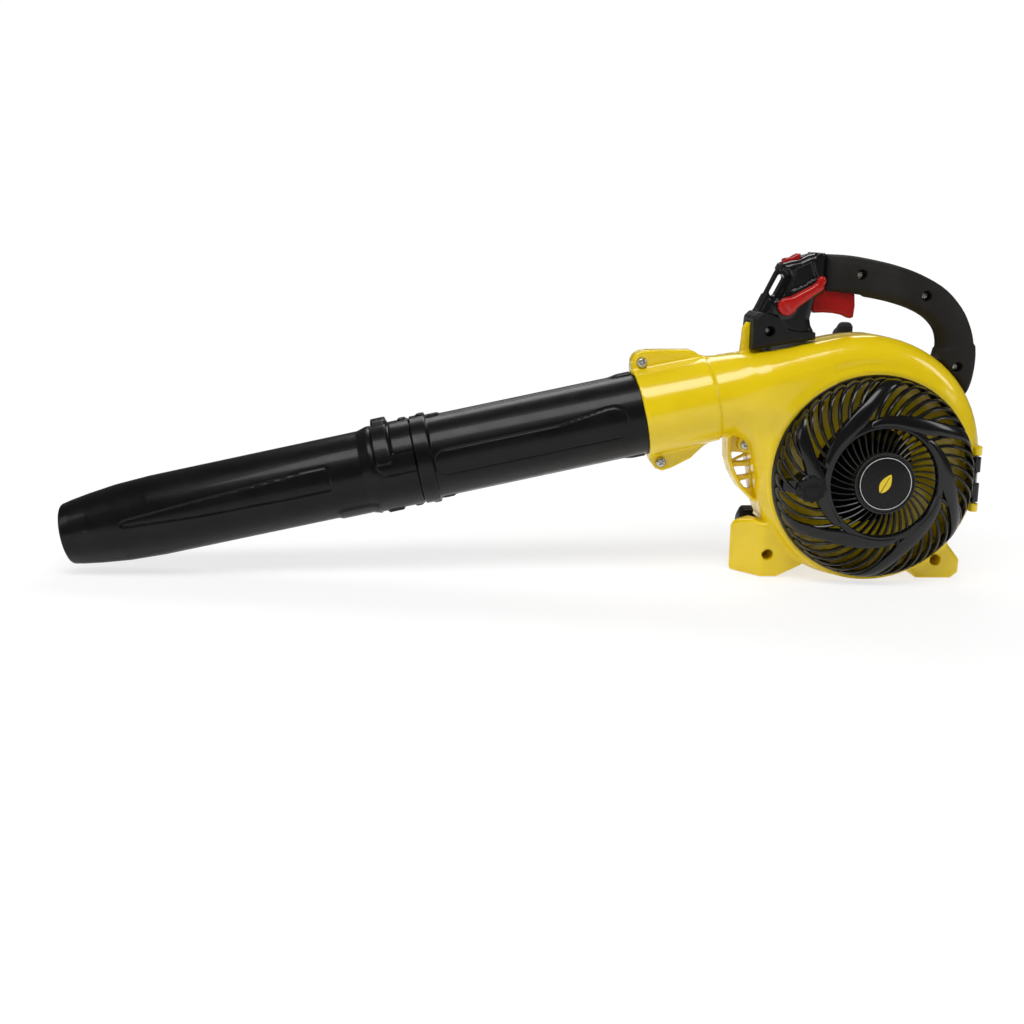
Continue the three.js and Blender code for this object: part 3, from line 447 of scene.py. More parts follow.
ZINC = finish("zinc", (0.42, 0.41, 0.38), (0.62, 0.61, 0.57), 0.28, metal=1, grain=1100, grain_depth=0.06)
STEEL = finish("steel", (0.36, 0.36, 0.35), (0.52, 0.52, 0.5), 0.32, metal=1, grain=900, grain_depth=0.05)
SCORCHED = finish("muffler_steel", (0.16, 0.13, 0.1), (0.34, 0.31, 0.27), 0.45, metal=1, grain=800,
                  grain_depth=0.1, wear=0.25)
ALLOY = finish("cast_alloy", (0.33, 0.33, 0.33), (0.48, 0.48, 0.47), 0.5, metal=1, grain=700, grain_depth=0.2,
               wear=0.2)
RUBBER = finish("rubber", (0.012, 0.012, 0.012), (0.024, 0.024, 0.024), 0.72, grain=1200, grain_depth=0.1)
FOAM = finish("filter_foam", (0.03, 0.03, 0.028), (0.06, 0.058, 0.052), 0.95, grain=420, grain_depth=0.8)
TANK = finish("tank_plastic", (0.55, 0.53, 0.44), (0.7, 0.68, 0.58), 0.38, grain=700, grain_depth=0.05)
ROPE = finish("rope", (0.05, 0.05, 0.05), (0.16, 0.15, 0.14), 0.85, grain=600, grain_depth=0.5)
SILVER = finish("badge_ring", (0.55, 0.55, 0.55), (0.75, 0.75, 0.74), 0.2, metal=1, grain_depth=0.02)

# ---------------------------------------------------------------- casing


def scroll_radius(angle):
    low = 275
    if angle < low:
        return SCROLL_MIN_R + 7.5 * math.sin(min(1, (low - angle) / 50) * math.pi / 2) ** 2
    lean = 6.5 * math.exp(-((angle - 368) / 34) ** 2)
    return SCROLL_MIN_R + (SCROLL_MAX_R - SCROLL_MIN_R) * (angle - low) / (450 - low) - lean


SCROLL = [polar(scroll_radius(a), a) for a in range(183, 444, 5)] + [
    (0, 147), (-12, 147), (-24, 146), (-38, 143.8), (-56, 140), (-80, 134.4), (-100, 128.6),
    (-118, 121.5), (-132, 112), (-140, 98), (-141, 80)]
LEFT_FOOT = [(-92, -58), (-118, -52), (-131, -56), (-148, -69), (-153.5, -78), (-151, -89), (-143, -106),
             (-136, GROUND_Z), (-92, GROUND_Z), (-66, -100), (-70, -80)]
RIGHT_FOOT = [(45, -98), (60, GROUND_Z), (98, GROUND_Z), (106, -106), (106, -92), (90, -72), (70, -80)]
TOP_EAR = [(81, 30), (81, 50), (79, 58), (75, 63), (68, 65.5), (58, 64.5), (16, 56), (11, 52.5), (6, 47),
           (-4, 42), (-10, 36)]
BOTTOM_EAR = [(80, -30), (79, -52), (75, -61), (68, -65), (58, -64), (36, -58), (17, -46), (4, -36)]
WEB = [(-112, 46), (-149, 40), (-147.5, 12), (-142, -4), (-133, -19), (-118, -33), (-108, -34)]
WEB_WINDOWS = [
    [(-142, 19), (-122, 17.5), (-122, 9), (-140, 7.5)],
    [(-138.5, 2.5), (-121, 4), (-121, -6), (-133.5, -8)],
    [(-131, -12.5), (-120, -10.5), (-119, -22), (-125.5, -20.5)],
]
EAR_HALF = 9


def duct_field(inset=0.0):
    """The duct that narrows from the scroll to the round neck."""
    def field(x, y, z):
        s, n = along_tube(x, z)
        t = np.clip(-s / 112, 0, 1)
        t = t * t * (3 - 2 * t)
        u = np.clip((-s - 36) / 84, 0, 1)
        shrink = 15 * u * u * (3 - 2 * u)
        half_height = NECK_R + t - shrink - inset
        half_width = NECK_R - 2 * t - 0.4 * shrink - inset
        corner = (NECK_R - 24 * t) - inset
        section = rounded(np.abs(n + 11 * t) - half_height, np.abs(y - SPLIT_Y) - half_width, corner)
        return np.maximum(section, np.abs(s + 51) - 61)
    return field


def ear(points):
    return middle_plate([tube_point(s, n) for s, n in points], EAR_HALF, 2.2)


def casing_fields():
    scroll = plate(SCROLL, 0, CASE_BACK_Y, 25)
    collar = turned([(60, 0.4), (RIM_R + 2.6, 0.4), (RIM_R + 4, 2), (RIM_R + 4, 60), (60, 60)])
    shell = join(9, scroll, collar)
    shell = join(16, shell, duct_field())
    clamp = tube_bar(3, CLAMP_END, 46.0, 47.2, 1.2)
    shell = join(2.2, shell, clamp)
    shell = join(4, shell, ear(TOP_EAR), ear(BOTTOM_EAR))

    def front_facet(x, y, z):
        return (x + 111) * -0.763 + (y - 15) * -0.647

    left = meet(3, plate(LEFT_FOOT, 13, 74, 4), front_facet)
    right = plate(RIGHT_FOOT, 8, 74, 4)
    shell = join(5, shell, left, right)
    feet = join(1, left, right)
    fin = middle_plate([(-138, 112), (-135.5, 150), (-132, 157), (-120, 157), (-112, 118)], 4.5, 1.2)
    lug = middle_plate([(82, 100), (90, 120), (99, 118), (98, 92)], 5.5, 1.2)
    shell = join(2.5, shell, fin, lug)
    boss = pin_y(*WEB_SCREW, SPLIT_Y - 12, SPLIT_Y + 12, 8)
    strap = cut(0.4, middle_plate(WEB, 14, 1.2),
                middle_plate([(x + 4 if x < -115 else x, z) for x, z in WEB], 20, 0.5))
    panel = cut(0.8, middle_plate(WEB, 5), *[middle_plate(w, 20, 0.5) for w in WEB_WINDOWS])
    brace = bar((-141, SPLIT_Y, 8), (-121, SPLIT_Y, 18), 1.8)
    web = join(1.5, panel, strap, boss, brace)
    outer = join(2.5, shell, web)

    def cavity(x, y, z):
        scroll_room = np.maximum(np.maximum(scroll(x, y, z) + 3, 24.2 - y), along_tube(x, z)[0] + 20)
        duct_room = np.maximum(duct_field(3)(x, y, z), np.minimum(RIM_R + 2.5 - np.hypot(x, z), 24.2 - y))
        return smooth_min(scroll_room, duct_room, 2)

    intake = turned([(0, -5), (RIM_R - 0.6, -5), (RIM_R - 2, 14), (EYE_R + 7, 20.4), (EYE_R + 0.5, 24),
                     (EYE_R + 0.5, 33), (0, 33)])
    bore = tube_bar(TUBE_START, CLAMP_END + 6, TUBE_R + 0.3, r=0.2)
    feet_holes = [pin_y(x, z, -5, 40, 6.1) for x, z in ((-103, -88), (79, -92))]
    relief = pin_z(HINGE_X, HINGE_Y, -26, 23, 6.5)
    shaft = pin_y(0, 0, 70, 100, 9)
    knuckles = []
    for z0, z1 in ((24, 34), (-36, -27)):
        knuckles.append(pin_z(HINGE_X, HINGE_Y, z0, z1, 4.6, r=0.8))
        knuckles.append(block(HINGE_X - 3, HINGE_X + 4, HINGE_Y, 12, z0, z1, 1))
    seats = [pin_y(*tube_point(s, n), -20, SPLIT_Y - EAR_HALF + 0.6, 6.4) for s, n in CLAMP_SCREWS]
    whole = cut(0.6, outer, cavity, bore, intake, relief, shaft, *feet_holes, *seats)

    def above_ground(x, y, z):
        return GROUND_Z - z + x * 0

    return meet(0.4, join(0.8, whole, *knuckles), above_ground), cut(0.6, feet, *feet_holes)


def build_casing():
    whole, feet = casing_fields()
    low, high = (-262, -9, -114), (152, 88, 166)
    front = join(0.7, meet(0.7, whole, half(-1)), feet)
    rear = cut(0.7, meet(0.7, whole, half(1)), grown(feet, 0.3))
    add_piece("volute_front_shell", front, low, (high[0], SPLIT_Y + LAP, high[2]), 1.55, YELLOW,
              ("root", "yellow", "volute_front"), 42)
    add_piece("volute_rear_shell", rear, (low[0], SPLIT_Y - LAP, low[2]), high, 1.55, YELLOW,
              ("root", "yellow", "volute_rear"), 42)


# ---------------------------------------------------------------- blow tubes


def shelf(distance, width=0.9):
    """1 well inside a shape and 0 outside, from its distance in millimetres."""
    t = np.clip(0.5 - distance / (2 * width), 0, 1)
    return t * t * (3 - 2 * t)


def groove(distance, width=0.9):
    return np.exp(-(distance / width) ** 2)


def tube_skin(name, outer, bore, s0, s1, material, steps_s, steps_a, marks=()):
    """A tube with an outside radius that depends on the place along it and round it, and a turned bore.

    bore is a list of (place along the tube, radius), and marks are places that need a row of their own.
    """
    bore_s, bore_r = zip(*bore)
    s = np.unique(np.concatenate([np.linspace(s0, s1, steps_s), marks]))
    angle = np.radians(np.arange(steps_a) * 360 / steps_a)
    grid_s, grid_a = np.meshgrid(s, angle, indexing="ij")
    wall = outer(grid_s, np.degrees(grid_a))
    s_in = np.unique(np.concatenate([np.linspace(s0, s1, 24), [at for at in bore_s if s0 < at < s1]]))[::-1]
    in_s, in_a = np.meshgrid(s_in, angle, indexing="ij")
    rows_s, rows_a = np.vstack([grid_s, in_s]), np.vstack([grid_a, in_a])
    rows_r = np.vstack([wall, np.interp(in_s, bore_s, bore_r)])
    x, z = tube_point(rows_s, rows_r * np.cos(rows_a))
    verts = np.stack([x, SPLIT_Y - rows_r * np.sin(rows_a), z], -1).reshape(-1, 3)
    rows = rows_s.shape[0]
    i, j = np.meshgrid(np.arange(rows), np.arange(steps_a), indexing="ij")
    i2, j2 = (i + 1) % rows, (j + 1) % steps_a
    corners = [i * steps_a + j, i * steps_a + j2, i2 * steps_a + j2, i2 * steps_a + j]
    faces = np.stack(corners, -1).reshape(-1, 4)
    return mesh_piece(name, verts, faces, material, 35)


def turn(angle):
    """The angle round the tube as -180 to 180, 0 at the top and 90 towards the front."""
    return (angle + 180) % 360 - 180


def upper_outer(s, angle):
    """The upper tube's outside: collar, side panels, ridges, and the plain end inside the nozzle."""
    a = turn(angle)
    before_spigot = s <= 320.55
    r = np.where(before_spigot, TUBE_R + 3.6 * shelf(np.abs(s - 311.5) - 8.6, 1.1), TUBE_R - 0.2)
    top_edge = 74 - 9.5 * np.clip((168 - s) / 50, 0, 1)
    per = DEGREE * TUBE_R
    for side in (1, -1):
        across = np.abs(side * a - (top_edge + 110) / 2) - (110 - top_edge) / 2
        panel = rounded(np.abs(s - 200) - 101, across * per, 13)
        panel = np.maximum(panel, s - 303)
        r -= 0.7 * shelf(panel, 1.2) + 0.7 * groove(panel, 1.1)
    for centre in (0, 180):
        away = np.abs(turn(angle - centre)) * DEGREE * TUBE_R
        ridge = rounded(np.abs(s - 190) - 112, away - 5, 4)
        r += 0.8 * shelf(ridge, 1.2)
        rise = np.clip((108 - s) / 14, 0, 1) * (s > 82)
        r += 1.8 * rise * rise * (3 - 2 * rise) * shelf(away - 5.5, 1.4)
        start = rounded(np.abs(s - 300) - 12, away - 6, 4)
        r += 1.6 * shelf(start, 1.6) * before_spigot
    return r


def nozzle_outer(s, angle):
    """The nozzle's outside: taper, straps and lugs of its joint, side panels, and the step beneath."""
    a = turn(angle)
    r = np.interp(s, [321, 366, 376, 596, 632, 661, 680, TIP_END - 0.6, TIP_END],
                  [45.7, 45.7, 42.8, 42.1, 40.4, 37.0, 34.0, 32.0, 31.4])
    per = DEGREE * 45
    for side in (1, -1):
        band = rounded(np.abs(s - 352) - 8, (np.abs(a) - 78) * per, 5)
        leg = rounded(np.abs(s - 336) - 24, (np.abs(side * a - 79.5) - 11.5) * per, 10)
        strap = smooth_min(band, np.maximum(leg, 320 - s), 4)
        r += 2.0 * shelf(strap, 0.9) - 0.35 * groove(strap - 1.4, 0.8)
        panel_top = np.interp(s, [410, 437, 490, 541, 625], [63, 63.5, 68.9, 72.6, 79.5])
        panel_low = np.interp(s, [410, 442, 545, 625], [96, 96, 93.4, 86.5])
        across = np.abs(side * a - (panel_top + panel_low) / 2) - (panel_low - panel_top) / 2
        panel = rounded(np.abs(s - 517.5) - 107.5, across * DEGREE * 42.5, 3.2)
        r -= 0.7 * shelf(panel, 1.2) + 0.7 * groove(panel, 1.1)
        mark = np.hypot(s - 662, (side * a - 80) * DEGREE * 40)
        r += 0.5 * shelf(mark - 1.8, 0.8)
    for centre in (0, 180):
        away = np.abs(turn(angle - centre)) * per
        lug = rounded(np.abs(s - 351.5) - 8.5, away - 13, 3)
        r += 2.4 * shelf(lug, 1.2)
        small = rounded(np.abs(s - 327) - 4.2, away - 5, 2)
        r += 2.0 * shelf(small, 1.2)
    under = rounded(np.abs(s - 384) - 26, (np.abs(turn(angle - 180)) - 46) * per, 8)
    r += 1.6 * shelf(under, 3.0) * (s > 366)
    return r


def build_tubes():
    steps = ((330, 260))    # along and round each tube
    upper = tube_skin("upper_blow_tube", upper_outer, [(8, TUBE_R - 2.4), (364, TUBE_R - 2.4)], 8.3, 364,
                      TUBE, *steps, (320.5, 320.6))
    settle_in(upper, "root", "tube_black", "upper_tube")
    bore = [(321, 43.3), (365, 43.3), (366, 40.1), (600, 39.6), (640, 37.2), (TIP_END - 1, 29.6)]
    nozzle = tube_skin("nozzle_blow_tube", nozzle_outer, bore, 321, TIP_END, TUBE, *steps)
    settle_in(nozzle, "nozzle_body", "tube_black", "nozzle_tube")


# ---------------------------------------------------------------- intake grille

DOME = curve_points([(106.2, 3), (104.6, 13), (97.5, 22), (80, 30.5), (55, 36), (28.4, 38.5)], 60)
DOME_R = [p[0] for p in DOME][::-1]
DOME_H = [p[1] for p in DOME][::-1]


class Build:
    """Gathers vertices and faces for one mesh."""

    def __init__(self):
        self.verts, self.faces = [], []

    def add(self, verts, faces):
        base = len(self.verts)
        self.verts += [tuple(v) for v in verts]
        self.faces += [tuple(base + i for i in f) for f in faces]

    def sweep(self, rings, closed=False):
        """A skin over rings of equal size, with flat ends unless closed."""
        count, verts, faces = len(rings[0]), [p for ring in rings for p in ring], []
        for r in range(len(rings) if closed else len(rings) - 1):
            nxt = (r + 1) % len(rings)
            for i in range(count):
                j = (i + 1) % count
                faces.append((r * count + i, r * count + j, nxt * count + j, nxt * count + i))
        if not closed:
            faces.append(tuple(range(count))[::-1])
            last = (len(rings) - 1) * count
            faces.append(tuple(range(last, last + count)))
        self.add(verts, faces)

    def lathe(self, profile, sides, x0=0.0, z0=0.0, wave=None):
        """A closed profile of (radius, y) points turned about an axis along Y."""
        rings = []
        for i in range(sides):
            angle = 2 * math.pi * i / sides
            reach = [(r + (wave(angle, r, y) if wave else 0), y) for r, y in profile]
            rings.append([(x0 + r * math.cos(angle), y, z0 + r * math.sin(angle)) for r, y in reach])
        self.sweep(rings, closed=True)

    def piece(self, name, material, auto=35):
        piece = mesh_piece(name, self.verts, self.faces, material, auto)
        faces = bmesh.new()
        faces.from_mesh(piece.data)
        bmesh.ops.recalc_face_normals(faces, faces=faces.faces[:])
        faces.to_mesh(piece.data)
        faces.free()
        return piece


def dome_y(x, z):
    return -np.interp(math.hypot(x, z), DOME_R, DOME_H)


def dome_rib(build, radii, angles, widths, depth, lift=0.0):
    """A rounded rib on the grille's dome through places given by radius and angle."""
    angles = np.radians(angles)
    path = np.stack([radii * np.cos(angles), radii * np.sin(angles)], 1)
    way = np.gradient(path, axis=0)
    way /= np.linalg.norm(way, axis=1)[:, None]
    rings = []
    for (px, pz), (dx, dz), width in zip(path, way, widths):
        w, round_off = width / 2, min(width / 3, 1.6)
        section = [(-w, depth), (-w, round_off), (-w + round_off, 0),
                   (w - round_off, 0), (w, round_off), (w, depth)]
        ring = []
        for s, d in section:
            x, z = px - dz * s, pz + dx * s
            ring.append((x, min(dome_y(x, z) - lift + d, -0.4), z))
        rings.append(ring)
    build.sweep(rings)


# the two edges of a grille arm, as (degrees, radius)
ARM_OUTER = curve_points([(0, 62), (5, 66), (18, 68.4), (32, 71.5), (47, 76.5), (60, 84), (68, 92),
                          (75, 100.5), (81, 105.4)], 40)
ARM_INNER = curve_points([(3, 58), (12, 58), (27, 58), (42, 58.5), (57, 64), (67, 74.5), (75, 84.5),
                          (82, 96), (89, 105.4)], 40)


def arm_blade(build, turned_by, depth, lift):
    """A broad curved arm on the dome."""
    rings = []
    for (a0, r0), (a1, r1) in zip(ARM_INNER, ARM_OUTER):
        start, end = np.array(polar(r0, turned_by - a0)), np.array(polar(r1, turned_by - a1))
        across = np.linalg.norm(end - start)
        soft = min(1.7 / across, 0.33)
        ring = []
        for at, drop in ((0, depth), (0, 1.7), (0.3 * soft, 0.6), (soft, 0), (0.35, -0.5), (0.5, -0.7),
                         (0.65, -0.5), (1 - soft, 0), (1 - 0.3 * soft, 0.6), (1, 1.7), (1, depth)):
            x, z = start + (end - start) * at
            ring.append((x, min(dome_y(x, z) - lift + drop, -0.4), z))
        rings.append(ring)
    build.sweep(rings)


def latch_bridge_end(x, y0, y1, reach):
    return [(x, y0, LATCH_Z + reach), (x, y1, LATCH_Z + reach), (x, y1, LATCH_Z - reach),
            (x, y0, LATCH_Z - reach)]


def build_grille():
    build = Build()
    slats, vanes, arms = 44, 42, 6
    for i in range(slats):
        turn_by = 360 / slats * i
        f = np.linspace(0, 1, 12)
        radii = 60 + 45.2 * np.sin(f * math.pi / 2) ** 0.9
        dome_rib(build, radii, turn_by + 20 - 30 * f, np.full(12, 2.7), 6.5)
        across = 1.35
        c, s = polar(1, turn_by - 10)
        build.sweep([[(c * (r + d) - s * w, -h, s * (r + d) + c * w)
                      for w, d in ((-across, -5), (-across, 0), (across, 0), (across, -5))]
                     for r, h in ((104.4, 14.0), (105.4, 8.0), (105.8, 1.0))])
    for i in range(vanes):
        turn_by = 360 / vanes * i
        f = np.linspace(0, 1, 8)
        dome_rib(build, 27 + 31 * f, turn_by + 6 - 14 * f, np.full(8, 1.6), 6, -2.2)
    for i in range(arms):
        arm_blade(build, 168 - 60 * i, 8, 1.1)
    hub = [(0, -36.8), (BADGE_R + 1.2, -36.8), (BADGE_R + 1.8, -37.6), (BADGE_R + 3.4, -37.6),
           (BADGE_R + 4, -36.4), (BADGE_R + 4, -31), (0, -31)]
    build.lathe(hub, 96)
    ring = [(56, -29), (56, -35.4), (56.8, -36.5), (58, -36.7), (62.6, -35.6), (63.4, -34.4), (63.4, -28)]
    build.lathe(ring, 96)
    rim = [(101.5, -0.4), (101.5, -3), (103.6, -5.4), (106.8, -5), (107.8, -3.2), (107.8, -0.4)]
    build.lathe(rim, 128)
    build.lathe([(4.4, -9), (4.4, -32.5), (13, -32.5), (14, -31.5), (14.5, -9)], 48, LATCH_X, LATCH_Z)
    build.sweep([latch_bridge_end(LATCH_X - 25, -18, -7, 5), latch_bridge_end(LATCH_X - 8, -28, -8, 8)])
    hinge = join(0.8, pin_z(HINGE_X, HINGE_Y, -25.5, 22.5, 4.4, r=0.8),
                 *[block(102, HINGE_X, -6, -1, z0, z1, 1.5) for z0, z1 in ((-20, -7), (8, 18))])
    hinge = meet(0.5, hinge, lambda x, y, z: -rounded(np.abs(z - 0.5) - 6, np.abs(x - 112.6) - 3.2, 2))
    verts, faces = surface_net(hinge, (99, -9, -28), (121, 3, 26), 0.8)
    build.add(settle(hinge, verts, 0.8), faces)
    grille = build.piece("swirl_grille", GLOSS)
    settle_in(grille, "grille_body", "black_gloss", "grille")

    disc = Build()
    disc.lathe([(0, -GRILLE_DEPTH + 0.5), (BADGE_R - 1.6, -GRILLE_DEPTH + 0.5), (BADGE_R - 0.4, -38.6),
                (BADGE_R, -37.8), (BADGE_R, -36.9), (0, -36.9)], 96)
    settle_in(disc.piece("badge_face", BADGE), "grille_body", "badge", "badge_disc")
    trim = Build()
    face = -GRILLE_DEPTH
    trim.lathe([(BADGE_R - 2.1, face + 0.6), (BADGE_R - 2.0, face + 0.2), (BADGE_R - 1.4, face + 0.2),
                (BADGE_R - 1.3, face + 0.6)], 96)
    settle_in(trim.piece("badge_trim_ring", SILVER), "grille_body", "badge")
    leaf = Build()
    outline = []
    for k in range(40):
        f = k / 20
        side = 1 if k < 20 else -1
        along = f if k < 20 else 2 - f
        outline.append((side * 6.6 * math.sin(math.pi * along) ** 0.75 * (1 - 0.35 * along), along))
    c, s = polar(1, 28)
    leaf.sweep([[(w * c + (22 * a - 11) * s, depth, -w * s + (22 * a - 11) * c) for w, a in outline]
                for depth in (face + 0.55, face + 0.2)])
    settle_in(leaf.piece("badge_leaf", YELLOW), "grille_body", "badge")
    vein = Build()
    vein.sweep([[(w * c + a * s, depth, -w * s + a * c)
                 for w, a in ((-0.45, -14), (0.45, -14), (0.25, 8), (-0.25, 8))]
                for depth in (face + 0.4, face + 0.08)])
    settle_in(vein.piece("badge_leaf_stem", BADGE), "grille_body", "badge")

    knob = Build()
    flutes = lambda a, r, y: 0.75 * math.cos(12 * a) if r > 12.5 and y < -32.9 else 0
    knob.lathe([(0, -38.9), (5, -38.9), (6, -38.4), (9.4, -38.4), (10.4, -38.9), (12, -38.9), (13.2, -37.6),
                (13.4, -33.2), (13.2, -32.8), (4, -32.8), (4, -7), (0, -7)], 144, LATCH_X, LATCH_Z, flutes)
    knob.sweep([[(LATCH_X - 8.6, y, LATCH_Z - 1.6), (LATCH_X + 8.6, y, LATCH_Z - 1.6),
                 (LATCH_X + 8.6, y, LATCH_Z + 1.6), (LATCH_X - 8.6, y, LATCH_Z + 1.6)]
                for y in (-38.2, -39.2)])
    settle_in(knob.piece("grille_latch", MATTE), "latch_body", "black_matte", "grille_latch_knob")


# ---------------------------------------------------------------- screws


def screw_field(x0, z0, head_y, end_y, head_r, shank_r, turned_by):
    """A pan-head screw with a cross recess, its head on the -Y side."""
    c, s = polar(1, turned_by)
    profile = [(0, head_y - 3), (head_r * 0.45, head_y - 2.85), (head_r * 0.8, head_y - 2.2),
               (head_r * 0.97, head_y - 1.2), (head_r, head_y), (shank_r, head_y), (shank_r, end_y),
               (0, end_y)]

    def field(x, y, z):
        u, v = (x - x0) * c + (z - z0) * s, -(x - x0) * s + (z - z0) * c
        body = polygon(profile, np.hypot(u, v), y)
        deep = np.abs(y - head_y + 3) - 2.1
        long, thin = head_r * 0.55, head_r * 0.13
        u, v = np.abs(u), np.abs(v)
        slot = np.minimum(np.maximum(u - long, v - thin), np.maximum(v - long, u - thin))
        return smooth_max(body, -np.maximum(slot, deep), 0.25)
    return field


def build_screws():
    upper, lower = (tube_point(*at) for at in CLAMP_SCREWS)
    ear_face = SPLIT_Y - EAR_HALF - 0.3
    places = [("clamp_screw_upper", upper, ear_face, SPLIT_Y + 9, 5.3, 2.4, 20),
              ("clamp_screw_lower", lower, ear_face, SPLIT_Y + 9, 5.3, 2.4, 50),
              ("web_screw", WEB_SCREW, SPLIT_Y - 12.3, SPLIT_Y + 5, 5.3, 2.4, 35)]
    for name, at, turned_by in zip(("bracket", "front", "rear", "end"), HANDLE_SCREWS, (10, 65, 25, 80)):
        places.append(("handle_screw_" + name, at, SPLIT_Y - 8.3, SPLIT_Y + 12, 4.4, 2.0, turned_by))
    for name, (x, z), head, end, head_r, shank_r, turned_by in places:
        field = screw_field(x, z, head, end, head_r, shank_r, turned_by)
        reach = head_r + 1
        add_piece(name + "_head", field, (x - reach, head - 4, z - reach), (x + reach, end + 1, z + reach),
                  0.42, ZINC, ("root", "zinc_screws", name), 35)


# ---------------------------------------------------------------- loop handle

GRIP_OUTER = [(-54, 229.5), (-28, 228.6), (-3, 225), (25, 219), (52, 210), (79, 195.5), (98.5, 175.5),
              (109.5, 155), (114.5, 136), (115.5, 118), (113, 98), (108, 84)]
GRIP_INNER = [(74, 121), (76.5, 132), (75.5, 144), (70.5, 155), (58.5, 166), (42, 174), (22, 180), (2, 184),
              (-21, 187), (-54, 189.5)]
PILLAR = [(-54.4, 189.5), (-54.4, 229.5), (-65, 230), (-73, 228), (-82, 223.5), (-92, 221.5), (-99, 219),
          (-105, 207), (-114, 188), (-122, 171), (-130, 163), (-134.5, 150), (-134.5, 128), (-62, 141), (-62.5, 149),
          (-66, 155), (-67.5, 162), (-66, 170), (-63, 184)]
BASE = [(-150, 110), (-150, 166), (-131, 167), (-126, 169), (-114, 167.5), (-104, 164), (-98, 157),
        (-93, 151.5), (-83, 149), (-60, 148.6), (-50, 120)]
TRIGGER_PIVOT = (-57, 203)
CRUISE_PIVOT = (-96, 175)
HANDLE_SCREWS = [(-112, 149), (-16, 209), (55, 188), (94, 114)]


def recesses(y_front):
    holes = []
    for x, z in HANDLE_SCREWS:
        holes.append(pin_y(x, z, y_front, SPLIT_Y - 8, 5.4))
        holes.append(pin_y(x, z, 10, SPLIT_Y + 13, 2.4))
    return holes


def shell_pair(name, shape, k, low, high, steps, material, slot, node):
    """The near and far halves of a handle piece, each in place of a CAD half."""
    near_high, far_low = (high[0], SPLIT_Y + LAP, high[2]), (low[0], SPLIT_Y - LAP, low[2])
    add_piece(name + "_near_shell", meet(k, shape, half(-1)), low, near_high, steps[0], material,
              ("root", slot, node + "_near"))
    add_piece(name + "_far_shell", meet(k, shape, half(1)), far_low, high, steps[1], material,
              ("root", slot, node + "_far"))


def build_handle():
    outline = curve_points(GRIP_OUTER, 40)[:-1]
    outline += [polar(scroll_radius(a) + 0.8, a) for a in (398, 405, 412, 419)]
    outline += curve_points(GRIP_INNER, 28)[1:]
    body = plate(outline, 25, 59, 13)
    end_cap = meet(2, plate(outline, 24.2, 59.8, 9),
                   plate([(50, 60), (50, 122), (74, 132), (96, 135), (130, 140), (130, 60)], 0, 90, 0.5))
    body = join(1.5, body, end_cap)
    trigger_room = block(-80, -7, 32.5, 51.5, 150, 208, 2)
    lug_room = middle_plate([(74, 92), (85, 122), (103, 120), (104, 84)], 6.3, 0.5)
    pivot = pin_y(*TRIGGER_PIVOT, 10, 80, 2.3)
    grip = cut(0.8, body, trigger_room, lug_room, *recesses(0))
    shell_pair("grip", grip, 0.6, (-56, 22, 78), (122, 62, 232), (1.6, 1.9), GRIP, "grip", "grip")

    pillar = plate(PILLAR, 24.5, 59.5, 8)
    collar = meet(1.5, plate([(-56, 188), (-56, 231), (-66, 231.5), (-68, 188)], 23.4, 60.6, 5),
                  grown(plate(PILLAR, 20, 64, 6), 1.2))
    pillar = join(1.5, pillar, collar)
    front_rib = bar((-91.5, SPLIT_Y, 213), (-114.5, SPLIT_Y, 168), 8.5, r=4)

    def stadium(x0, z0, x1, z1, radius):
        reach = (x1 - x0) ** 2 + (z1 - z0) ** 2

        def field(x, y, z):
            t = np.clip(((x - x0) * (x1 - x0) + (z - z0) * (z1 - z0)) / reach, 0, 1)
            return np.hypot(x - x0 - t * (x1 - x0), z - z0 - t * (z1 - z0)) - radius + y * 0
        return field

    opening = stadium(-99.4, 204, -107, 188.6, 3.7)
    dish = meet(1, stadium(-98, 206, -106.5, 187, 7.2), lambda x, y, z: 6.5 - np.abs(y - SPLIT_Y))
    switch_room = block(-98, -78, 34, 50, 214, 240, 1)
    side_dish = meet(1, plate([(-86, 215), (-70, 222), (-64, 205), (-78, 196), (-92, 190)], 0, 100, 4),
                     lambda x, y, z: 14.6 - np.abs(y - SPLIT_Y))
    hub = pin_y(*CRUISE_PIVOT, 24, 32, 12, 1.5)
    upper = join(1.5, join(3, pillar, front_rib), hub)
    upper = cut(1.2, upper, dish, side_dish)
    upper = cut(0.7, upper, opening, trigger_room, switch_room, pivot, pin_y(*CRUISE_PIVOT, 20, 36, 3.4),
                plate(BASE, 0, 90, 0.4))
    base = meet(1.2, plate(PILLAR, 19, 65, 6), plate(BASE, 0, 90, 0.4))
    slot = block(-150, -117, SPLIT_Y - 6.5, SPLIT_Y + 6.5, 110, 158.5, 1)
    inside = block(-120, -100, SPLIT_Y - 6.3, SPLIT_Y + 6.3, 110, 159, 1)
    edge = block(-150, -129.5, 0, 90, 100, 175, 1)
    base = cut(0.9, base, slot, inside, edge, *recesses(0))
    for name, shape, material, slot_name, y0, y1 in (
            ("pillar", upper, GLOSS, "black_gloss", 22, 62), ("bracket", base, MATTE, "black_matte", 17, 67)):
        shell_pair(name, shape, 0.5, (-138, y0, 126), (-52, y1, 234), (1.15, 1.5), material, slot_name,
                   "pillar")


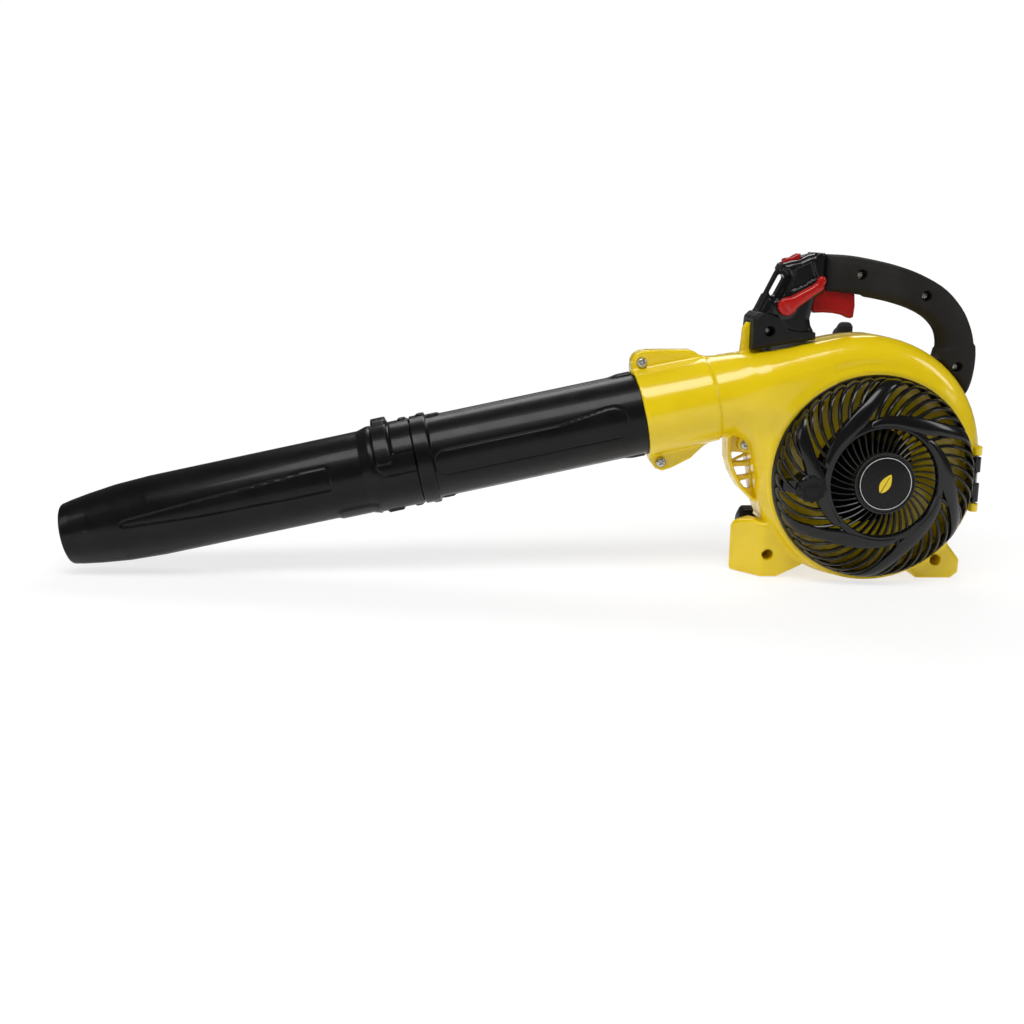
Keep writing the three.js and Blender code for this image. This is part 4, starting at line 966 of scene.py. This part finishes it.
def build_controls():
    blade = plate([(-65, 206), (-65, 172), (-62, 168), (-52, 168.5), (-41, 168), (-30, 166), (-22.5, 162.8),
                   (-19, 164), (-18, 176), (-19, 188), (-26, 194), (-44, 196), (-52, 206)], 34, 50, 3)
    trigger = join(0.8, blade, pin_y(*TRIGGER_PIVOT, SPLIT_Y - 15, SPLIT_Y + 15, 2))
    add_piece("throttle_trigger_blade", trigger, (-68, 25, 160), (-17, 59, 209), 0.95, RED_DARK,
              ("trigger_body", "red_dark", "throttle_trigger"))
    arm = bar((-96, 19.4, 175), (-64, 19.0, 195.5), 7.6, 4.8, r=3.6)
    flat = lambda x, y, z: np.abs(y - 19.2) - 5.2
    lever = join(3, pin_y(*CRUISE_PIVOT, 14.6, 24.4, 9.4, 3.2), arm,
                 bar((-66, 19, 193.5), (-60.5, 18.4, 199), 5.4, 5, r=3),
                 bar((-60.5, 18.4, 198), (-61.5, 18.6, 207), 4.9, 4.2, r=3.6))
    lever = join(0.6, meet(1.4, lever, flat), pin_y(*CRUISE_PIVOT, 22, 34, 3))
    add_piece("cruise_lever_arm", lever, (-108, 12, 163), (-53, 36, 213), 0.8, RED,
              ("cruise_body", "red", "cruise_lever"))
    rocker = plate([(-96, 217), (-79.5, 217), (-79.3, 229.2), (-81, 229.5), (-84, 228), (-88.5, 225.2),
                    (-93, 224.6), (-96, 223.5)], 35, 49, 1.2)
    add_piece("stop_switch_rocker", rocker, (-98, 33, 215), (-77, 51, 232), 0.6, RED,
              ("switch_body", "red", "stop_switch"))


# ---------------------------------------------------------------- engine side


def louvres(x0, x1, y0, y1, zs, height):
    return [block(x0, x1, y0, y1, z, z + height, 1) for z in zs]


def build_engine_covers():
    outer = join(4, block(-38, 93, 86, 160, 38, 126, 16), pin_y(0, 0, 137, 160, 56, 4))
    lip = meet(1, block(-39, 94, 108, 112, 37, 127, 3), grown(outer, 1.2))
    outer = join(1.2, outer, lip)
    inner = join(2, block(-35.2, 90.2, 70, 157.2, 20, 123.2, 12), pin_y(0, 0, 120, 157.2, 53.2))
    cuts = [inner, block(-60, 110, 60, 88, 0, 120), block(56, 110, 136.9, 170, -20, 20),
            pin_y(0, 0, 150, 170, 44), pin_z(0, CYLINDER_Y, 115, 135, 15), block(-8, 8, CYLINDER_Y, 157, 118, 135),
            pin_x(-50, -30, CYLINDER_Y, 60, 12), block(-50, -30, 97.7, 130.3, 43.7, 76.3),
            pin_x(85, 110, 120, 50, 8)]
    cuts += louvres(85, 110, 98, 140, range(76, 112, 8), 4)
    cuts += louvres(44, 84, 150, 170, range(56, 112, 8), 4)
    cuts += louvres(-28, 12, 150, 170, range(72, 112, 8), 4)
    cover = cut(1, outer, *cuts)
    add_piece("engine_cover_shell", cover, (-59, 84, -59), (97, 162, 130), 2.1, MATTE,
              ("root", "black_matte", "engine_cover"))

    shell = turned([(0, 192), (40, 192), (48, 189.5), (52, 184), (52, 160.4), (49, 160.4), (49, 184),
                    (43, 188.6), (8, 189), (6, 189), (6, 164), (0, 164)])
    guide = cut(0.5, pin_z(ROPE_X, ROPE_Y, 36, 58, 7, r=1.5), pin_y(0, 0, 162, 185, 42))
    rings = turned([(20, 193), (20, 190.8), (22, 190.8), (22, 193)])

    def slots(x, y, z):
        r, a = np.hypot(x, z), np.degrees(np.arctan2(z, x))
        best = None
        for inner_r, outer_r, count in ((11, 18, 10), (24, 45, 18)):
            pitch = 360 / count
            off = np.abs((a + 1.4 * (r - inner_r)) % pitch - pitch / 2) * math.pi / 180 * r
            gap = rounded(np.abs(r - (inner_r + outer_r) / 2) - (outer_r - inner_r) / 2, off - 1.8, 1.5)
            best = gap if best is None else np.minimum(best, gap)
        return np.maximum(best, 180 - y)

    def grips(x, y, z):
        a = np.degrees(np.arctan2(z, x))
        return np.hypot(np.abs(a % 30 - 15) * math.pi / 180 * 52, np.hypot(x, z) - 53.4) - 2.6 + y * 0
    housing = cut(0.8, join(0.8, shell, guide), pin_z(ROPE_X, ROPE_Y, 20, 70, 3), slots, rings, grips)
    add_piece("recoil_starter_housing", housing, (-54, 158, -54), (54, 194, 60), 1.5, MATTE,
              ("root", "black_matte", "starter_housing"))

    bow = join(2, block(3.5, 47.5, 161, 177, 66, 82, 6), pin_z(ROPE_X, ROPE_Y, 60, 68, 6, r=1))
    bow = cut(1, bow, *[block(3.5 + 8.8 * k + 2, 3.5 + 8.8 * k + 4.6, 155, 162, 60, 90, 0.8)
                        for k in range(5)])
    add_piece("starter_pull_handle", bow, (2, 159, 59), (49, 179, 83), 1.1, MATTE,
              ("starter_handle_body", "black_matte", "starter_handle"))

    rope = Build()
    rings = []
    for k in range(61):
        z = 59.6 * k / 60
        rings.append([(ROPE_X + (1.5 + 0.25 * math.cos(3 * a + 0.9 * k)) * math.cos(a),
                       ROPE_Y + (1.5 + 0.25 * math.cos(3 * a + 0.9 * k)) * math.sin(a), z)
                      for a in [2 * math.pi * i / 12 for i in range(12)]])
    rope.sweep(rings)
    piece = rope.piece("starter_pull_rope", ROPE)
    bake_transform(piece)
    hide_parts("starter_rope")


def build_fuel_side():
    body = block(-78, 90, 92, 188, -108, -59, 14)
    bead = meet(0.8, grown(body, 1.3), lambda x, y, z: np.abs(z + 84) - 1.1)
    ribs = join(1, *[block(x, x + 5, 91, 189, -106, -62, 2) for x in (-40, -10, 20, 50)])
    tank = join(3, body, pin_x(-92, -70, CYLINDER_Y, CAP_Z, 15, r=1))
    tank = join(1.2, tank, bead, meet(1, ribs, grown(body, 0.9)))
    hollow = join(1, block(-75.5, 87.5, 94.5, 185.5, -105.5, -61.5, 12),
                  pin_x(-100, -70, CYLINDER_Y, CAP_Z, 11.5))
    add_piece("fuel_tank_shell", cut(0.8, tank, hollow), (-94, 89, -110), (93, 191, -55), 2.4, TANK,
              ("root", "tank", "fuel_tank"))

    cap = Build()
    wave = lambda a, r: 0.9 * (math.cos(24 * a) > 0) - 0.5 if r > 19 else 0
    profile = [(0, 19.6), (12, 19.8), (14.6, 18.6), (19.2, 15.4), (20, 14), (20, 0.4), (19, 0), (15.6, 0),
               (15.6, 12), (0, 12)]
    rings = []
    for i in range(192):
        a = 2 * math.pi * i / 192
        reach = [(r + wave(a, r), d) for r, d in profile]
        rings.append([(-91 - d, CYLINDER_Y + r * math.cos(a), CAP_Z + r * math.sin(a)) for r, d in reach])
    cap.sweep(rings, closed=True)
    cap.add([(-111.4, CYLINDER_Y + w, CAP_Z + h) for w, h in ((-9, -2), (9, -2), (9, 2), (-9, 2))]
            + [(-107, CYLINDER_Y + w, CAP_Z + h) for w, h in ((-10, -3), (10, -3), (10, 3), (-10, 3))],
            [(0, 1, 2, 3), (0, 4, 5, 1), (1, 5, 6, 2), (2, 6, 7, 3), (3, 7, 4, 0)])
    settle_in(cap.piece("fuel_cap_knob", MATTE, 30), "fuel_cap_body", "black_matte", "fuel_cap")

    shell = cut(1, block(-124, -70, 91, 151, 22, 94, 12), block(-121, -66, 94, 148, 25, 91, 9),
                block(-82.3, -60, 80, 160, 10, 100))
    raised = [block(-125, -122.6, 99, 143, z, z + 3.2, 1) for z in range(38, 84, 8)]
    shell = join(1, shell, *[meet(0.5, r, lambda x, y, z: -124 - x) for r in raised])
    add_piece("air_filter_lid", shell, (-126, 89, 20), (-81, 153, 96), 1.5, MATTE,
              ("filter_cover_body", "black_matte", "air_filter_cover"))

    box = block(38, 86, 93, 137, 36, 88, 6)
    can = cut(0.8, join(2, box, pin_x(29.4, 40, CYLINDER_Y, 62, 9), pin_x(84, 97, 120, 50, 6)),
              block(40, 84, 95, 135, 38, 86, 5), pin_x(20, 44, CYLINDER_Y, 62, 6.5),
              pin_x(80, 110, 120, 50, 4.6))
    fold = meet(0.6, grown(box, 1.4), lambda x, y, z: np.abs(y - 115) - 1.2)
    can = join(0.8, can, cut(0.3, fold, block(40, 84, 90, 140, 38, 86, 5)))
    add_piece("muffler_can", can, (28, 91, 34), (98, 139, 90), 1.6, SCORCHED,
              ("root", "muffler_steel", "muffler"))

    boot = join(1.5, pin_z(0, CYLINDER_Y, 110, 150, 9.5, 8.5, 1), pin_z(0, CYLINDER_Y, 148, 154, 8.5, 6.4, 3),
                pin_y(0, 144, CYLINDER_Y, 131, 5.5, 1.5))
    boot = join(0.8, boot, *[pin_z(0, CYLINDER_Y, z, z + 2, 10.2, r=0.8) for z in (112, 117, 122)])
    boot = cut(0.5, boot, pin_z(0, CYLINDER_Y, 100, 137, 5.2))
    add_piece("spark_plug_cap", boot, (-12, 102, 108), (12, 133, 156), 0.9, RUBBER,
              ("root", "rubber", "spark_plug_boot"))


def dress_cad():
    """The pieces that keep their CAD shape: softened edges and a finish each."""
    finishes = (
        (MATTE, "impeller ignition_coil intake_manifold air_filter_base starter_pulley"),
        (ZINC, "impeller_nut"), (RED, "choke_lever"), (FOAM, "air_filter_element"),
        (STEEL, "crankshaft_front crankshaft_rear bearing_front bearing_rear piston_pin connecting_rod"
                " spark_plug recoil_spring grille_hinge_pin"),
        (ALLOY, "crankcase_front crankcase_rear cylinder piston flywheel carburettor"),
        (RUBBER, "ignition_lead primer_bulb fuel_line tank_mount rear_foot_left rear_foot_right"
                 " throttle_cable"))
    round_things = {"ignition_lead", "fuel_line", "throttle_cable", "primer_bulb"}
    pairs = [(material, name) for material, names in finishes for name in names.split()]
    for material, name in pairs:
        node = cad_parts[name]
        node.data.materials.clear()
        node.data.materials.append(material)
        node.data.polygons.foreach_set("use_smooth", [True] * len(node.data.polygons))
        weld = node.modifiers.new("weld", "WELD")
        weld.merge_threshold = 0.00002
        if name in round_things:
            rounder = node.modifiers.new("round", "SUBSURF")
            rounder.levels = rounder.render_levels = 2
            continue
        bevel = node.modifiers.new("bevel", "BEVEL")
        bevel.width = 0.0004
        bevel.segments = 2
        bevel.limit_method = "ANGLE"
        bevel.angle_limit = math.radians(38)
        bevel.use_clamp_overlap = True
        split = node.modifiers.new("split", "EDGE_SPLIT")
        split.split_angle = math.radians(40)


# ---------------------------------------------------------------- camera and light


def place_camera():
    yaw, pitch, roll = math.radians(4.4), math.radians(9.8), math.radians(1.2)
    right = Vector((math.cos(yaw), -math.sin(yaw), 0))
    ahead = Vector((math.sin(yaw) * math.cos(pitch), math.cos(yaw) * math.cos(pitch), -math.sin(pitch)))
    up = right.cross(ahead)
    right, up = (right * math.cos(roll) + up * math.sin(roll), up * math.cos(roll) - right * math.sin(roll))
    data = bpy.data.cameras.new("camera")
    data.sensor_width, data.lens = 36, 43.52
    data.shift_y = -0.0605
    data.clip_end = 50
    camera = bpy.data.objects.new("camera", data)
    bpy.context.scene.collection.objects.link(camera)
    place = ORIGIN + Vector((-475.538, -1244.811, 240.987)) * MM
    camera.matrix_world = Matrix((
        (right.x, up.x, -ahead.x, place.x), (right.y, up.y, -ahead.y, place.y),
        (right.z, up.z, -ahead.z, place.z), (0, 0, 0, 1)))
    bpy.context.scene.camera = camera


def softbox(name, place, aim, width, height, power):
    data = bpy.data.lights.new(name, "AREA")
    data.shape = "RECTANGLE"
    data.size, data.size_y = width, height
    data.energy = power
    lamp = bpy.data.objects.new(name, data)
    bpy.context.scene.collection.objects.link(lamp)
    lamp.location = place
    lamp.rotation_euler = (Vector(aim) - Vector(place)).to_track_quat("-Z", "Y").to_euler()


def place_lights():
    middle = (0.1, 0, 0.15)
    softbox("key", (-0.3, -1.1, 2.1), middle, 1.7, 0.9, 34)
    softbox("fill_right", (2.2, -1.0, 1.3), middle, 0.6, 0.9, 9)
    softbox("fill_left", (-2.1, -0.6, 1.0), middle, 0.7, 1.0, 5)
    softbox("back", (0.3, 1.6, 1.9), middle, 2.0, 0.9, 24)
    world = bpy.data.worlds.new("studio")
    world.use_nodes = True
    nodes, links = world.node_tree.nodes, world.node_tree.links
    put(nodes["Background"], Color=(1, 1, 1, 1), Strength=0.1)
    white = put(nodes.new("ShaderNodeBackground"), Color=(1, 1, 1, 1), Strength=1.02)
    path, choose = nodes.new("ShaderNodeLightPath"), nodes.new("ShaderNodeMixShader")
    links.new(path.outputs["Is Camera Ray"], choose.inputs[0])
    links.new(nodes["Background"].outputs[0], choose.inputs[1])
    links.new(white.outputs[0], choose.inputs[2])
    links.new(choose.outputs[0], nodes["World Output"].inputs["Surface"])
    bpy.context.scene.world = world
    bpy.context.scene.view_settings.view_transform = "Standard"


def place_floor():
    mesh = bpy.data.meshes.new("floor")
    edge = 9
    mesh.from_pydata([(-edge, -edge, 0), (edge, -edge, 0), (edge, edge, 0), (-edge, edge, 0)], [],
                     [(0, 1, 2, 3)])
    mat = finish("floor_paper", (0.86, 0.86, 0.86), (0.9, 0.9, 0.9), 0.85, grain=120, grain_depth=0.01,
                 spots=2)
    nodes, links = mat.node_tree.nodes, mat.node_tree.links
    paper = put(nodes["Principled BSDF"], Emission_Color=(1, 1, 1, 1), Emission_Strength=0.25)
    glow = put(nodes.new("ShaderNodeEmission"), Strength=1.02)
    place, reach = nodes.new("ShaderNodeTexCoord"), nodes.new("ShaderNodeVectorMath")
    fade = put(nodes.new("ShaderNodeMapRange"), From_Min=0.3, From_Max=1.1, To_Min=0.55)
    reach.operation = "LENGTH"
    path, both = nodes.new("ShaderNodeLightPath"), nodes.new("ShaderNodeMath")
    both.operation = "MULTIPLY"
    choose = nodes.new("ShaderNodeMixShader")
    links.new(place.outputs["Object"], reach.inputs[0])
    links.new(reach.outputs["Value"], fade.inputs["Value"])
    links.new(fade.outputs["Result"], both.inputs[0])
    links.new(path.outputs["Is Camera Ray"], both.inputs[1])
    links.new(both.outputs[0], choose.inputs[0])
    links.new(paper.outputs[0], choose.inputs[1])
    links.new(glow.outputs[0], choose.inputs[2])
    links.new(choose.outputs[0], nodes["Material Output"].inputs["Surface"])
    mesh.materials.append(mat)
    floor = bpy.data.objects.new("floor", mesh)
    floor.location.z = -0.0008
    bpy.context.scene.collection.objects.link(floor)


build_casing()
build_tubes()
build_grille()
build_screws()
build_handle()
build_controls()
build_engine_covers()
build_fuel_side()
dress_cad()
place_camera()
place_lights()
place_floor()
